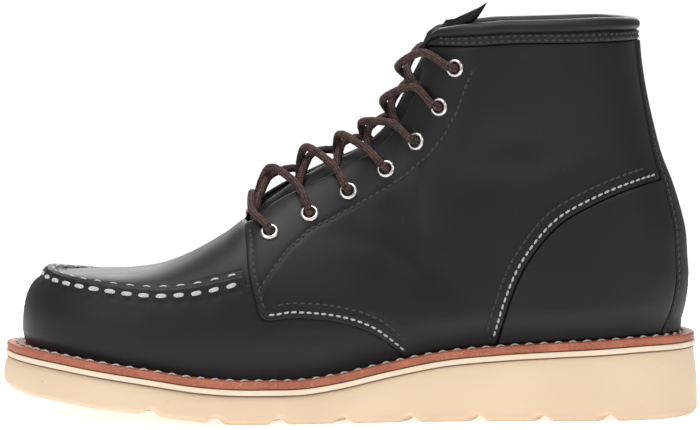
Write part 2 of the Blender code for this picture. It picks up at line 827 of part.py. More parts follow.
def make_sole(collection, cutters):
    """Wedge, thin midsole, stitched welt and the footbed whose step fills the welt ring."""
    make_outsole(collection, cutters)
    loop = outline_loop()
    edge = inset_loop(loop, 0.35 * SOLE_WALL_BULGE)
    top_z = welt_top(edge[:, 0]) - WELT_THICKNESS - FIT
    plate("midsole", edge, top_z, edge, top_z - MIDSOLE_THICKNESS, [], "midsole", collection)
    welt_outer = inset_loop(loop, 0.6 * SOLE_WALL_BULGE)
    welt_inner = inset_loop(loop, FEATHER_INSET + UPPER_WALL)
    ring_plate("welt", welt_outer, welt_inner, 0.0, WELT_THICKNESS, "welt", collection)
    bed = inset_loop(loop, FEATHER_INSET + UPPER_WALL + INSOLE_MARGIN)
    line = welt_top(bed[:, 0])
    plate("insole", bed, line + INSOLE_STEP, bed, line - WELT_THICKNESS, [], "insole", collection)


def ring_shell(name, low, high, look, collection, drop=0.0):
    """The whole ring of columns between two offsets, open underneath and at the throat and collar."""
    relief = seam_relief(FORM)[:, :, None]
    inside = surface(low)
    outside = surface(high) + FORM_NORMALS * relief
    points = np.concatenate([outside.reshape(-1, 3), inside.reshape(-1, 3)])
    layer = COLUMNS * ROWS
    merged = {}
    for column in range(COLUMNS):
        mirror = (COLUMNS - column) % COLUMNS
        if mirror < FRONT or column <= FRONT or mirror <= FRONT:
            merged[column] = min(column, mirror) if min(column, mirror) > FAN_COLUMNS else FAN_COLUMNS
    faces = []

    def vertex(column, row, inner):
        column %= COLUMNS
        if row == ROWS - 1 and column in merged:
            column = merged[column]
        return inner * layer + column * ROWS + row

    for column in range(COLUMNS):
        for row in range(ROWS - 1):
            for inner in (0, 1):
                face = [
                    vertex(column, row, inner),
                    vertex(column + 1, row, inner),
                    vertex(column + 1, row + 1, inner),
                    vertex(column, row + 1, inner),
                ]
                face = tuple(dict.fromkeys(face if inner == 0 else face[::-1]))
                if len(face) > 2:
                    faces.append(face)
        faces.append(
            (
                vertex(column, 0, 0),
                vertex(column, 0, 1),
                vertex(column + 1, 0, 1),
                vertex(column + 1, 0, 0),
            )
        )
        if FRONT <= column < COLUMNS - FRONT:
            faces.append(
                (
                    vertex(column, ROWS - 1, 0),
                    vertex(column + 1, ROWS - 1, 0),
                    vertex(column + 1, ROWS - 1, 1),
                    vertex(column, ROWS - 1, 1),
                )
            )
    used = sorted({index for face in faces for index in face})
    renumber = {index: new for new, index in enumerate(used)}
    faces = [tuple(renumber[index] for index in face) for face in faces]
    return add_mesh(name, points[used], faces, look, collection)


def patch_shell(name, first, last, low, high, look, collection):
    """A closed slab over some of the columns, between two offsets of the form."""
    columns = np.arange(first, last + 1) % COLUMNS
    inside = surface(low)[columns]
    outside = surface(high)[columns]
    count = len(columns)
    layer = count * ROWS
    points = np.concatenate([outside.reshape(-1, 3), inside.reshape(-1, 3)])
    faces = []
    for column in range(count - 1):
        for row in range(ROWS - 1):
            a = column * ROWS + row
            b = a + ROWS
            faces.append((a, b, b + 1, a + 1))
            faces.append((layer + a, layer + a + 1, layer + b + 1, layer + b))
        for row in (0, ROWS - 1):
            a = column * ROWS + row
            faces.append((a, a + ROWS, layer + a + ROWS, layer + a))
    for column in (0, count - 1):
        for row in range(ROWS - 1):
            a = column * ROWS + row
            faces.append((a, a + 1, layer + a + 1, layer + a))
    return add_mesh(name, points, faces, look, collection)


def side_prism(name, outline, cutters, spread=(-0.1, 0.1)):
    """A prism across the boot whose section is an outline seen from the side."""
    count = len(outline)
    points = [(x, spread[0], z) for x, z in outline] + [(x, spread[1], z) for x, z in outline]
    faces = [(i, (i + 1) % count, (i + 1) % count + count, i + count) for i in range(count)]
    faces.append(tuple(range(count)))
    faces.append(tuple(range(count, 2 * count)))
    return hide(add_mesh(name, points, faces, "leather", cutters))


def back_prism(name, halves, ups, cutters):
    """A prism along the boot's rear half whose section is an outline seen from the back."""
    outline = [(-half, z) for half, z in zip(halves, ups)] + [(half, z) for half, z in zip(halves, ups)][::-1]
    count = len(outline)
    front = place(0.80)
    back = place(1.0) + 0.05
    points = [(front, y, z) for y, z in outline] + [(back, y, z) for y, z in outline]
    faces = [(i, (i + 1) % count, (i + 1) % count + count, i + count) for i in range(count)]
    faces.append(tuple(range(count)))
    faces.append(tuple(range(count, 2 * count)))
    return hide(add_mesh(name, points, faces, "leather", cutters))


def edge_line(rows, steps=2):
    """World x and z of an edge table, with a few smooth steps between its rows."""
    table = np.column_stack([place([row[0] for row in rows]), height([row[1] for row in rows])])
    run = np.concatenate([[0], np.cumsum(np.linalg.norm(np.diff(table, axis=0), axis=1))])
    at = np.interp(np.arange((len(rows) - 1) * steps + 1) / steps, np.arange(len(rows)), run)
    x = smooth_line(np.column_stack([run, table[:, 0]]), at)
    z = smooth_line(np.column_stack([run, table[:, 1]]), at)
    return np.column_stack([x, z])


def shifted(line, distance):
    """An edge moved sideways, to the left of its own direction."""
    tangent = np.gradient(line, axis=0)
    tangent /= np.linalg.norm(tangent, axis=1)[:, None]
    return line + np.column_stack([-tangent[:, 1], tangent[:, 0]]) * distance


def cut_by(solid, cutter, operation):
    """Cuts a solid with another and keeps the result as its mesh."""
    step = solid.modifiers.new(cutter.name, "BOOLEAN")
    step.operation = operation
    step.solver = "EXACT"
    step.object = cutter


def make_overlays(collection, cutters):
    """Quarters, counters, backstay and collar, cut side by side from shells over the upper."""
    reach = 0.06
    far_back = place(1.0) + reach
    low = -reach
    high = SHAFT_HEIGHT + reach
    front = edge_line(QUARTER_EDGE)
    counter = edge_line(COUNTER_EDGE, 2)
    collar = edge_line(COLLAR_EDGE, 1)
    half_gap = 0.5 * FIT
    above_collar = shifted(collar, half_gap)
    below_collar = shifted(collar, -half_gap)
    quarter_region = [(place(TONGUE_FOOT), high), *front, (front[-1][0], low), (far_back, low), (far_back, high)]
    quarter_prism = side_prism("quarter_region", quarter_region, cutters)
    collar_region = [*above_collar, (far_back, above_collar[-1][1]), (far_back, high), (collar[0][0], high)]
    collar_prism = side_prism("collar_region", collar_region, cutters)
    under_collar = [*below_collar, (far_back, below_collar[-1][1]), (far_back, high), (collar[0][0], high)]
    under_collar_prism = side_prism("collar_clear", under_collar, cutters)
    behind_counter = shifted(counter, half_gap)
    ahead_counter = shifted(counter, -half_gap)
    counter_region = [*behind_counter, (behind_counter[-1][0], low), (far_back, low), (far_back, counter[0][1])]
    counter_clear = [*ahead_counter, (ahead_counter[-1][0], low), (far_back, low), (far_back, counter[0][1])]
    counter_prism = side_prism("counter_region", counter_region, cutters)
    counter_clear_prism = side_prism("counter_clear", counter_clear, cutters)
    stay_half = np.array([row[0] for row in BACKSTAY_EDGE]) * ANKLE_HALF_WIDTH
    stay_up = height([row[1] for row in BACKSTAY_EDGE])
    stay_prism = back_prism("backstay_region", stay_half - half_gap, stay_up, cutters)
    stay_clear_prism = back_prism("backstay_clear", stay_half + half_gap, stay_up, cutters)
    spans = {"lateral": (FRONT, HALF), "medial": (HALF, COLUMNS - FRONT)}
    for side, (first, last) in spans.items():
        quarter = patch_shell(
            "quarter_" + side, first, last, FIT, FIT + QUARTER_THICKNESS, "leather", collection
        )
        cut_by(quarter, quarter_prism, "INTERSECT")
        cut_by(quarter, under_collar_prism, "DIFFERENCE")
        cut_by(quarter, counter_clear_prism, "DIFFERENCE")
        cut_by(quarter, stay_clear_prism, "DIFFERENCE")
        counter_solid = patch_shell(
            "counter_" + side, first, last, FIT, FIT + COUNTER_THICKNESS, "leather", collection
        )
        cut_by(counter_solid, counter_prism, "INTERSECT")
        cut_by(counter_solid, stay_clear_prism, "DIFFERENCE")
    around_back = (HALF - SHAFT_COLUMNS, HALF + SHAFT_COLUMNS)
    stay = patch_shell("backstay", *around_back, FIT, FIT + BACKSTAY_THICKNESS, "backstay", collection)
    cut_by(stay, stay_prism, "INTERSECT")
    cut_by(stay, under_collar_prism, "DIFFERENCE")
    band = patch_shell(
        "collar_band", FRONT, COLUMNS - FRONT, FIT, FIT + COLLAR_THICKNESS, "leather", collection
    )
    cut_by(band, collar_prism, "INTERSECT")


def ridge_run():
    """The closed form's ridge from the tongue's foot up, as a polyline seen from the side."""
    at = np.linspace(TONGUE_FOOT, 0.66, 90)
    x = place(at)
    return np.column_stack([x, ridge_height(x, LATERAL)])


def tongue_point(across, level_at, offset):
    """A point of the tongue: a place up the ridge, then round the form to one side."""
    line = ridge_run()
    z_front = line[:, 1]
    z = float(level_at)
    x = float(np.interp(z, z_front, line[:, 0]))
    ahead = float(np.interp(z + 0.002, z_front, line[:, 0])) - x
    slope = np.array([ahead, 0.002]) / np.hypot(ahead, 0.002)
    inward = np.array([slope[1], -slope[0]])
    side = LATERAL if across < 0 else MEDIAL
    target = abs(across) * TONGUE_HALF_WIDTH
    depths = np.linspace(0, 0.034, 120)
    xs = x + inward[0] * depths
    zs = z + inward[1] * depths
    halves = np.array(shell_half_width(xs, np.minimum(zs, SHAFT_HEIGHT), LATERAL))
    halves = np.maximum.accumulate(halves)
    arc = np.concatenate([[0], np.cumsum(np.hypot(np.diff(depths), np.diff(halves)))])
    arc[0] = 0
    pick = float(np.interp(target, arc, depths))
    half = float(np.interp(pick, depths, halves))
    px = x + inward[0] * pick
    pz = z + inward[1] * pick
    return np.array([px, float(ridge_across(px)) + side * half, pz])


def make_tongue(collection):
    """A bent leaf just inside the facings, its lateral top corner above the collar."""
    across = np.linspace(-1, 1, 11)
    rows = 12
    foot = float(ridge_height(place(TONGUE_FOOT), LATERAL))
    grid = []
    for share in across:
        top = float(height(np.interp(share, [r[0] for r in TONGUE_TOP], [r[1] for r in TONGUE_TOP])))
        levels = foot + (top - foot) * np.linspace(0, 1, rows)
        grid.append([tongue_point(share, level, 0.0) for level in levels])
    grid = np.array(grid)
    normal = np.cross(np.gradient(grid, axis=1), np.gradient(grid, axis=0))
    normal /= np.linalg.norm(normal, axis=2)[:, :, None]
    middle = len(across) // 2
    normal *= 1 if normal[middle, rows // 2, 0] < 0 else -1
    outer = UPPER_WALL + TONGUE_CLEARANCE
    outside = grid - normal * outer
    inside = grid - normal * (outer + TONGUE_THICKNESS)
    layer = len(across) * rows
    points = np.concatenate([outside.reshape(-1, 3), inside.reshape(-1, 3)])
    faces = []
    for i in range(len(across) - 1):
        for j in range(rows - 1):
            a = i * rows + j
            b = a + rows
            faces.append((a, b, b + 1, a + 1))
            faces.append((layer + a, layer + a + 1, layer + b + 1, layer + b))
        for j in (0, rows - 1):
            a = i * rows + j
            faces.append((a, a + rows, layer + a + rows, layer + a))
    for i in (0, len(across) - 1):
        for j in range(rows - 1):
            a = i * rows + j
            faces.append((a, a + 1, layer + a + 1, layer + a))
    return add_mesh("tongue", points, faces, "tongue", collection)


def make_eyelets(collection):
    """Rolled nickel rings on the facings, each square to the leather under it."""
    base = FIT + QUARTER_THICKNESS + EYELET_SEAT
    profile = [
        (EYELET_HOLE, 0.0),
        (EYELET_RADIUS, 0.0),
        (0.6 * (EYELET_RADIUS + EYELET_HOLE), EYELET_RISE),
        (EYELET_HOLE, 0.7 * EYELET_RISE),
    ]
    steps = 12
    for side_name, side in SIDES.items():
        for index, row in enumerate(EYELETS):
            point, normal = on_surface(row, side, base)
            frame = Vector(normal).to_track_quat("Z", "Y").to_matrix()
            points = []
            for step in range(steps):
                angle = step * 2 * math.pi / steps
                for radius, rise in profile:
                    local = Vector((radius * math.cos(angle), radius * math.sin(angle), rise))
                    points.append(tuple(Vector(point) + frame @ local))
            size = len(profile)
            faces = []
            for step in range(steps):
                after = (step + 1) % steps
                for k in range(size):
                    m = (k + 1) % size
                    faces.append((step * size + k, step * size + m, after * size + m, after * size + k))
            add_mesh("eyelet_%s_%d" % (side_name, index + 1), points, faces, "nickel", collection)


def over_gap(lower_row, upper_row, bow):
    """The point where two strands cross, over the middle of the gap between the facings."""
    over_leather = FIT + QUARTER_THICKNESS + LACE_RADIUS + LACE_CLEARANCE
    edges = [facing_edge(row, side) for row in (lower_row, upper_row) for side in (LATERAL, MEDIAL)]
    middle = sum(edge for edge, _ in edges) / len(edges)
    outward = sum(out for _, out in edges) / len(edges)
    return middle + outward * (over_leather + bow)


def lace_path(start_row, end_row, start_side, middle, bow):
    """Route of one strand: from beside one facing, over the tongue, to the opposite eyelet."""
    over_leather = FIT + QUARTER_THICKNESS + LACE_RADIUS + LACE_CLEARANCE
    start_edge = facing_edge(start_row, start_side)[0]
    end_edge, end_out = facing_edge(end_row, -start_side)
    inboard = np.array([0.0, -start_side, 0.0])
    start = start_edge + inboard * (LACE_RADIUS + QUARTER_THICKNESS + LACE_CLEARANCE)
    lip = end_edge + end_out * (over_leather + 0.4 * bow)
    eyelet = on_surface(end_row, -start_side, over_leather + EYELET_SEAT + EYELET_RISE)[0]
    return [start, middle, lip, eyelet]


def tube(name, route, collection):
    """A round cord through a few points, as a closed mesh."""
    curve = bpy.data.curves.new(name, "CURVE")
    curve.dimensions = "3D"
    curve.bevel_depth = LACE_RADIUS
    curve.bevel_resolution = 2
    curve.use_fill_caps = True
    route = np.array(route)
    run = np.concatenate([[0], np.cumsum(np.linalg.norm(np.diff(route, axis=0), axis=1))])
    at = np.linspace(0, run[-1], 8)
    smooth = np.column_stack([smooth_line(np.column_stack([run, route[:, i]]), at) for i in range(3)])
    spline = curve.splines.new("POLY")
    spline.points.add(len(smooth) - 1)
    for point, place_at in zip(spline.points, smooth):
        point.co = (*place_at, 1.0)
    drawn = bpy.data.objects.new(name, curve)
    collection.objects.link(drawn)
    mesh = bpy.data.meshes.new_from_object(drawn.evaluated_get(bpy.context.evaluated_depsgraph_get()))
    bpy.data.objects.remove(drawn)
    solid = bmesh.new()
    solid.from_mesh(mesh)
    bmesh.ops.remove_doubles(solid, verts=solid.verts, dist=0.00001)
    bmesh.ops.recalc_face_normals(solid, faces=solid.faces)
    solid.to_mesh(mesh)
    solid.free()
    mesh.materials.clear()
    mesh.materials.append(material("lace"))
    made = bpy.data.objects.new(name, mesh)
    collection.objects.link(made)
    return made


def make_laces(collection, cutters):
    """A straight bar through the lowest eyelets, then a crossing between each pair and the next."""
    over = over_gap(EYELETS[0], EYELETS[0], LACE_BOW)
    near_half = lace_path(EYELETS[0], EYELETS[0], MEDIAL, over, LACE_BOW)[1:]
    far_half = lace_path(EYELETS[0], EYELETS[0], LATERAL, over, LACE_BOW)[2:]
    tube("lace_bar", far_half[::-1] + near_half, collection)
    for index in range(len(EYELETS) - 1):
        pair = EYELETS[index : index + 2]
        over = over_gap(*pair, LACE_BOW)
        strand = tube("lace_crossing_%d" % (index + 1), lace_path(*pair, LATERAL, over, LACE_BOW), collection)
        other = tube("lace_strand_%d" % (index + 1), lace_path(*pair, MEDIAL, over, LACE_BOW), cutters)
        cut_by(strand, hide(other), "UNION")


def main():
    for item in list(bpy.data.objects):
        bpy.data.objects.remove(item)
    boot = bpy.data.collections.new("wedge_sole_work_boot")
    cutters = bpy.data.collections.new("cutters")
    bpy.context.scene.collection.children.link(boot)
    bpy.context.scene.collection.children.link(cutters)
    make_sole(boot, cutters)
    ring_shell("upper", -UPPER_WALL, 0.0, "leather", boot)
    make_overlays(boot, cutters)
    make_tongue(boot)
    make_eyelets(boot)
    make_laces(boot, cutters)


main()
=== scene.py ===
import math

import bmesh
import bpy
import numpy as np
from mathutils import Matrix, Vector


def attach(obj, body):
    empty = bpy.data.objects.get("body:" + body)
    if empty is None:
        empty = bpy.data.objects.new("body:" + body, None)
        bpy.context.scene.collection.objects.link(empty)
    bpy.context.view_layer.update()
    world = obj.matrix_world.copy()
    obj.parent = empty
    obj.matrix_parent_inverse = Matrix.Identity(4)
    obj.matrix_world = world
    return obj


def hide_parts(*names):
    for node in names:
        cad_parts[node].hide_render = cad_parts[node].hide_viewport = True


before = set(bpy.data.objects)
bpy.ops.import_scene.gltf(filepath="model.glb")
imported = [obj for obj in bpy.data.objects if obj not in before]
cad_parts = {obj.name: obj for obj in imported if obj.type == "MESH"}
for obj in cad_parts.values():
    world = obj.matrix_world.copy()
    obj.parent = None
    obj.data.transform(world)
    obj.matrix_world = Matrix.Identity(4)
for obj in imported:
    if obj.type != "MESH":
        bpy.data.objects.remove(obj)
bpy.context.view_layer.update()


# Camera, studio light and floor. The boot was photographed from its outer side, a little from
# above, with a long lens, in soft white light on a white ground.
CAMERA_AT = (0.0, -1.70, 0.21)
CAMERA_AIM = (0.0, 0.0, 0.0808)
CAMERA_LENS = 213.97
LIGHTS = [
    # name, at, size, power
    ("overhead", (-0.10, -0.10, 1.25), 0.9, 13.0),
    ("front_left", (-1.25, -1.25, 0.90), 0.8, 7.0),
    ("front_right", (1.15, -1.20, 1.10), 0.8, 7.0),
    ("behind", (0.05, 1.20, 0.70), 0.9, 9.0),
]
LIGHT_AIM = (0.0, 0.0, 0.07)
WORLD_LIGHT = 0.34
WORLD_SEEN = 1.05


def look_from(item, at, aim):
    """Puts a camera or a light at a place and turns it towards another."""
    item.location = at
    item.rotation_euler = (Vector(aim) - Vector(at)).to_track_quat("-Z", "Y").to_euler()
    bpy.context.scene.collection.objects.link(item)


def add_node(tree, kind, values=None, **settings):
    """One shader node, with its settings, and a value or another node's output in each named socket."""
    made = tree.nodes.new(kind)
    for name, value in settings.items():
        setattr(made, name, value)
    for socket, value in (values or {}).items():
        if isinstance(value, bpy.types.NodeSocket):
            tree.links.new(value, made.inputs[socket])
        else:
            made.inputs[socket].default_value = value
    return made


def new_finish(name, roughness, metallic=0.0, coat=0.0, coat_roughness=0.3, sheen=0.0):
    """A Principled material with its constant values set, and its tree and shader."""
    made = bpy.data.materials.new(name)
    made.use_nodes = True
    shader = made.node_tree.nodes["Principled BSDF"]
    shader.inputs["Roughness"].default_value = roughness
    shader.inputs["Metallic"].default_value = metallic
    shader.inputs["Coat Weight"].default_value = coat
    shader.inputs["Coat Roughness"].default_value = coat_roughness
    shader.inputs["Sheen Weight"].default_value = sheen
    return made, made.node_tree, shader


def noise_at(tree, where, scale, detail=3.0):
    """Soft noise over a place, from 0 to 1."""
    values = {"Vector": where, "Scale": scale, "Detail": detail}
    return add_node(tree, "ShaderNodeTexNoise", values).outputs[0]


def ramp(tree, value, stops):
    """Colours along a value."""
    made = add_node(tree, "ShaderNodeValToRGB", {"Fac": value})
    elements = made.color_ramp.elements
    while len(elements) < len(stops):
        elements.new(0.5)
    for element, (at, colour) in zip(elements, stops):
        element.position = at
        element.color = (*colour, 1.0) if len(colour) == 3 else colour
    return made.outputs[0]


def remap(tree, value, low, high, new_low, new_high):
    """A value moved from one range to another, and held within it."""
    values = {"Value": value, "From Min": low, "From Max": high, "To Min": new_low, "To Max": new_high}
    return add_node(tree, "ShaderNodeMapRange", values).outputs[0]


def mix_colour(tree, share, first, second):
    """Two colours mixed by a share."""
    made = add_node(tree, "ShaderNodeMix", data_type="RGBA")
    for socket, value in ((made.inputs[0], share), (made.inputs[6], first), (made.inputs[7], second)):
        if isinstance(value, bpy.types.NodeSocket):
            tree.links.new(value, socket)
        else:
            socket.default_value = (*value, 1.0) if isinstance(value, tuple) and len(value) == 3 else value
    return made.outputs[2]


def bump(tree, height_value, distance, strength, under=None):
    """A bump of a real depth in metres, over another one."""
    values = {"Height": height_value, "Distance": distance, "Strength": strength}
    if under is not None:
        values["Normal"] = under
    return add_node(tree, "ShaderNodeBump", values).outputs[0]


def object_place(tree):
    return add_node(tree, "ShaderNodeTexCoord").outputs["Object"]


def work_out(tree, operation, first, second=0.5):
    """One sum of two values or outputs."""
    return add_node(tree, "ShaderNodeMath", {0: first, 1: second}, operation=operation).outputs[0]


def join_look(tree, shader, **outputs):
    """Joins outputs to the shader's colour, roughness and normal sockets."""
    sockets = {"colour": "Base Color", "roughness": "Roughness", "normal": "Normal"}
    for name, output in outputs.items():
        tree.links.new(output, shader.inputs[sockets[name]])


camera_data = bpy.data.cameras.new("camera")
camera_data.lens = CAMERA_LENS
camera_data.sensor_width = 36.0
camera_data.sensor_fit = "HORIZONTAL"
camera = bpy.data.objects.new("camera", camera_data)
look_from(camera, CAMERA_AT, CAMERA_AIM)
bpy.context.scene.camera = camera

for light_name, light_at, light_size, light_power in LIGHTS:
    light_data = bpy.data.lights.new(light_name, "AREA")
    light_data.shape = "SQUARE"
    light_data.size = light_size
    light_data.energy = light_power
    look_from(bpy.data.objects.new(light_name, light_data), light_at, LIGHT_AIM)

studio = bpy.data.worlds.new("studio")
studio.use_nodes = True
studio_tree = studio.node_tree
seen = add_node(studio_tree, "ShaderNodeLightPath").outputs["Is Camera Ray"]
studio_light = remap(studio_tree, seen, 0.0, 1.0, WORLD_LIGHT, WORLD_SEEN)
studio_tree.links.new(studio_light, studio_tree.nodes["Background"].inputs["Strength"])
studio_tree.nodes["Background"].inputs["Color"].default_value = (1.0, 1.0, 1.0, 1.0)
bpy.context.scene.world = studio
bpy.context.scene.view_settings.view_transform = "Standard"

FLOOR_HALF = 0.62
FLOOR_GLOW = 0.56
floor_finish, floor_tree, floor_shader = new_finish("floor_white", 0.8)
floor_shade = noise_at(floor_tree, object_place(floor_tree), 3.0)
floor_colour = ramp(floor_tree, floor_shade, [(0.0, (0.93, 0.93, 0.93)), (1.0, (0.96, 0.96, 0.96))])
join_look(floor_tree, floor_shader, colour=floor_colour)
floor_shader.inputs["Emission Color"].default_value = (1.0, 1.0, 1.0, 1.0)
floor_shader.inputs["Emission Strength"].default_value = FLOOR_GLOW
floor_mesh = bpy.data.meshes.new("floor")
floor_corners = [(-1, -1), (1, -1), (1, 1), (-1, 1)]
floor_mesh.from_pydata([(x * FLOOR_HALF, y * FLOOR_HALF, 0.0) for x, y in floor_corners], [], [(0, 1, 2, 3)])
floor_mesh.materials.append(floor_finish)
floor = bpy.data.objects.new("floor", floor_mesh)
bpy.context.scene.collection.objects.link(floor)


# Outsole: one wedge of cream foamed rubber, moulded with a bulged side wall, a rounded bottom edge
# and shallow wavy grooves across the tread, then ground at the side. It is glued to the midsole.
SOLE_LENGTH = 0.285
BALL_WIDTH = 0.101
HEEL_STACK = 0.0335
TOE_SPRING = 0.0115
WELT_THICKNESS = 0.003
MIDSOLE_THICKNESS = 0.0024
FIT = 0.0003
SOLE_WALL_BULGE = 0.0022
BOTTOM_EDGE = 0.0035
BOTTOM_EDGE_HEIGHT = 0.0026
GROOVE_WIDTH = 0.008
GROOVE_DEPTH = 0.0023
GROOVE_PITCH = 0.026
GROOVE_COUNT = 8
GROOVE_WAVE = 0.003
GROOVE_WAVE_LENGTH = 0.034
FIRST_GROOVE = 0.0645
LOOP_STEPS = 300
WALL_STEPS = 12
OUTLINE = [
    # along, lateral, medial
    (0.012, 0.10, 0.20),
    (0.040, 0.23, 0.32),
    (0.090, 0.355, 0.435),
    (0.156, 0.445, 0.495),
    (0.237, 0.495, 0.505),
    (0.325, 0.500, 0.470),
    (0.430, 0.465, 0.400),
    (0.553, 0.405, 0.340),
    (0.675, 0.370, 0.330),
    (0.800, 0.365, 0.345),
    (0.893, 0.345, 0.330),
    (0.960, 0.260, 0.255),
    (0.991, 0.135, 0.135),
]
TOE_TIP_ACROSS = 0.06
WELT_LINE = [
    # along, height
    (0.000, 0.865),
    (0.093, 0.782),
    (0.142, 0.725),
    (0.219, 0.639),
    (0.286, 0.557),
    (0.330, 0.526),
    (0.381, 0.516),
    (0.437, 0.524),
    (0.482, 0.579),
    (0.560, 0.722),
    (0.630, 0.832),
    (0.711, 0.896),
    (0.851, 0.962),
    (0.921, 0.995),
    (1.000, 1.000),
]
TREAD_LINE = [
    # along, height
    (0.000, 1.00),
    (0.020, 0.86),
    (0.093, 0.64),
    (0.142, 0.50),
    (0.219, 0.33),
    (0.286, 0.12),
    (0.335, 0.00),
    (1.000, 0.00),
]
WALL_INSETS = [
    # share of the way down the wall, inset as a share of the bulge
    (0.0, 0.80),
    (0.45, 0.15),
    (0.75, 0.0),
    (1.0, 0.0),
]


def smooth_line(rows, places):
    """Cubic through the rows of a two-column table, with the slope at each row from its neighbours."""
    table = np.array(rows, dtype=float)
    at = table[:, 0]
    values = table[:, 1]
    slopes = np.gradient(values, at)
    places = np.clip(np.asarray(places, dtype=float), at[0], at[-1])
    row = np.clip(np.searchsorted(at, places, side="right") - 1, 0, len(at) - 2)
    gap = at[row + 1] - at[row]
    t = (places - at[row]) / gap
    start = values[row] * (1 + 2 * t) * (1 - t) ** 2 + values[row + 1] * t * t * (3 - 2 * t)
    return start + gap * (slopes[row] * t * (1 - t) ** 2 + slopes[row + 1] * t * t * (t - 1))


def ease(share):
    """Smooth step from 0 to 1."""
    share = np.clip(share, 0.0, 1.0)
    return share * share * (3 - 2 * share)


def place(along):
    """World x of a share of the sole's length, counted from the toe."""
    return (np.asarray(along) - 0.5) * SOLE_LENGTH


def along(x):
    return np.asarray(x) / SOLE_LENGTH + 0.5


def welt_top(x):
    return smooth_line(WELT_LINE, along(x)) * HEEL_STACK


def tread_height(x, y):
    """Underside of the sole: the toe spring, raised by a shallow arc in each wavy groove."""
    base = np.maximum(smooth_line(TREAD_LINE, along(x)), 0.0) * TOE_SPRING
    wave = GROOVE_WAVE * np.sin(y * 2 * math.pi / GROOVE_WAVE_LENGTH)
    from_first = x - wave - (FIRST_GROOVE - 0.5 * SOLE_LENGTH)
    nearest = np.clip(np.round(from_first / GROOVE_PITCH), 0, GROOVE_COUNT - 1)
    off = (from_first - nearest * GROOVE_PITCH) / (0.5 * GROOVE_WIDTH)
    return base + GROOVE_DEPTH * np.clip(1 - off * off, 0.0, 1.0)


def line_run(points):
    """Distance along a polyline at each of its points."""
    return np.concatenate([[0], np.cumsum(np.linalg.norm(np.diff(points, axis=0), axis=1))])


def read_line(at, run, values):
    """Rows of values read at distances along their line."""
    return np.column_stack([np.interp(at, run, column) for column in values.T])


def unit(vectors):
    """Vectors along the last axis brought to length 1."""
    return vectors / np.maximum(np.linalg.norm(vectors, axis=-1, keepdims=True), 1e-12)


def outline_loop(steps):
    """Closed plan outline of the sole, evenly spaced from the toe tip round the lateral side."""
    lateral = [(place(row[0]), -row[1] * BALL_WIDTH) for row in OUTLINE]
    medial = [(place(row[0]), row[2] * BALL_WIDTH) for row in OUTLINE]
    tip = (place(0.0), TOE_TIP_ACROSS * BALL_WIDTH)
    back = (place(1.0), 0.0)
    points = np.array([tip] + lateral + [back] + medial[::-1] + [tip])
    run = line_run(points)
    wrapped = np.concatenate([run[-4:-1] - run[-1], run, run[1:4] + run[-1]])
    ring = np.concatenate([points[-4:-1], points, points[1:4]])
    toe_to_back = run[len(lateral) + 1]
    first = np.linspace(0, toe_to_back, steps + 1)
    second = np.linspace(toe_to_back, run[-1], steps + 1)[1:-1]
    at = np.concatenate([first, second])
    x = smooth_line(np.column_stack([wrapped, ring[:, 0]]), at)
    y = smooth_line(np.column_stack([wrapped, ring[:, 1]]), at)
    return np.column_stack([x, y])


def inset_rows(loop, insets):
    """The loop moved inwards along its own normals, once for each inset: columns round, rows inwards."""
    tangent = unit(np.roll(loop, -1, axis=0) - np.roll(loop, 1, axis=0))
    inward = np.column_stack([-tangent[:, 1], tangent[:, 0]])
    return loop[:, None, :] + inward[:, None, :] * np.asarray(insets)[None, :, None]


def grid_faces(columns, rows, around):
    """Four-cornered faces between neighbours of a grid, closed round its columns or open."""
    count = columns if around else columns - 1
    c = np.arange(count)[:, None]
    r = np.arange(rows - 1)[None, :]
    a = c * rows + r
    b = ((c + 1) % columns) * rows + r
    return np.stack([a, b, b + 1, a + 1], axis=-1).reshape(-1, 4)


def add_piece(name, grids, finishes, nodes=(), marks=None, sharp=50.0, merge=2e-6):
    """One closed piece from grids of points (points, closed round or not, which finish).

    The grids' shared borders are merged and the normals turned outwards. A mark is a number kept on
    each point for the material, given as one array for each grid.
    """
    points = np.concatenate([grid.reshape(-1, 3) for grid, _, _ in grids])
    faces = []
    looks = []
    first = 0
    for grid, around, look in grids:
        made = grid_faces(grid.shape[0], grid.shape[1], around) + first
        faces.append(made)
        looks.append(np.full(len(made), look))
        first += grid.shape[0] * grid.shape[1]
    mesh = bpy.data.meshes.new(name)
    mesh.from_pydata(points.tolist(), [], np.concatenate(faces).tolist())
    mesh.polygons.foreach_set("material_index", np.concatenate(looks).astype(np.int32))
    for mark, arrays in (marks or {}).items():
        kept = mesh.attributes.new(mark, "FLOAT", "POINT")
        kept.data.foreach_set("value", np.concatenate([a.reshape(-1) for a in arrays]).astype(np.float32))
    return finish_piece(name, mesh, finishes, nodes, sharp, merge)


def finish_piece(name, mesh, finishes, nodes=(), sharp=50.0, merge=2e-6):
    """Merges a mesh's doubles, turns its faces out and makes it a piece on the boot."""
    solid = bmesh.new()
    solid.from_mesh(mesh)
    bmesh.ops.remove_doubles(solid, verts=solid.verts, dist=merge)
    bmesh.ops.recalc_face_normals(solid, faces=solid.faces)
    solid.to_mesh(mesh)
    solid.free()
    mesh.shade_smooth()
    mesh.set_sharp_from_angle(angle=math.radians(sharp))
    for finish in finishes:
        mesh.materials.append(finish)
    piece = bpy.data.objects.new(name, mesh)
    bpy.context.scene.collection.objects.link(piece)
    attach(piece, "root")
    if nodes:
        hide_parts(*nodes)
    return piece


def across(row, steps):
    """A ring's lateral half joined to its medial half by straight lines: a grid of pairs."""
    half = len(row) // 2
    lateral = row[: half + 1]
    medial = np.concatenate([row[:1], row[half:][::-1]])
    share = np.linspace(0, 1, steps + 1)[None, :, None]
    return lateral[:, None, :] * (1 - share) + medial[:, None, :] * share


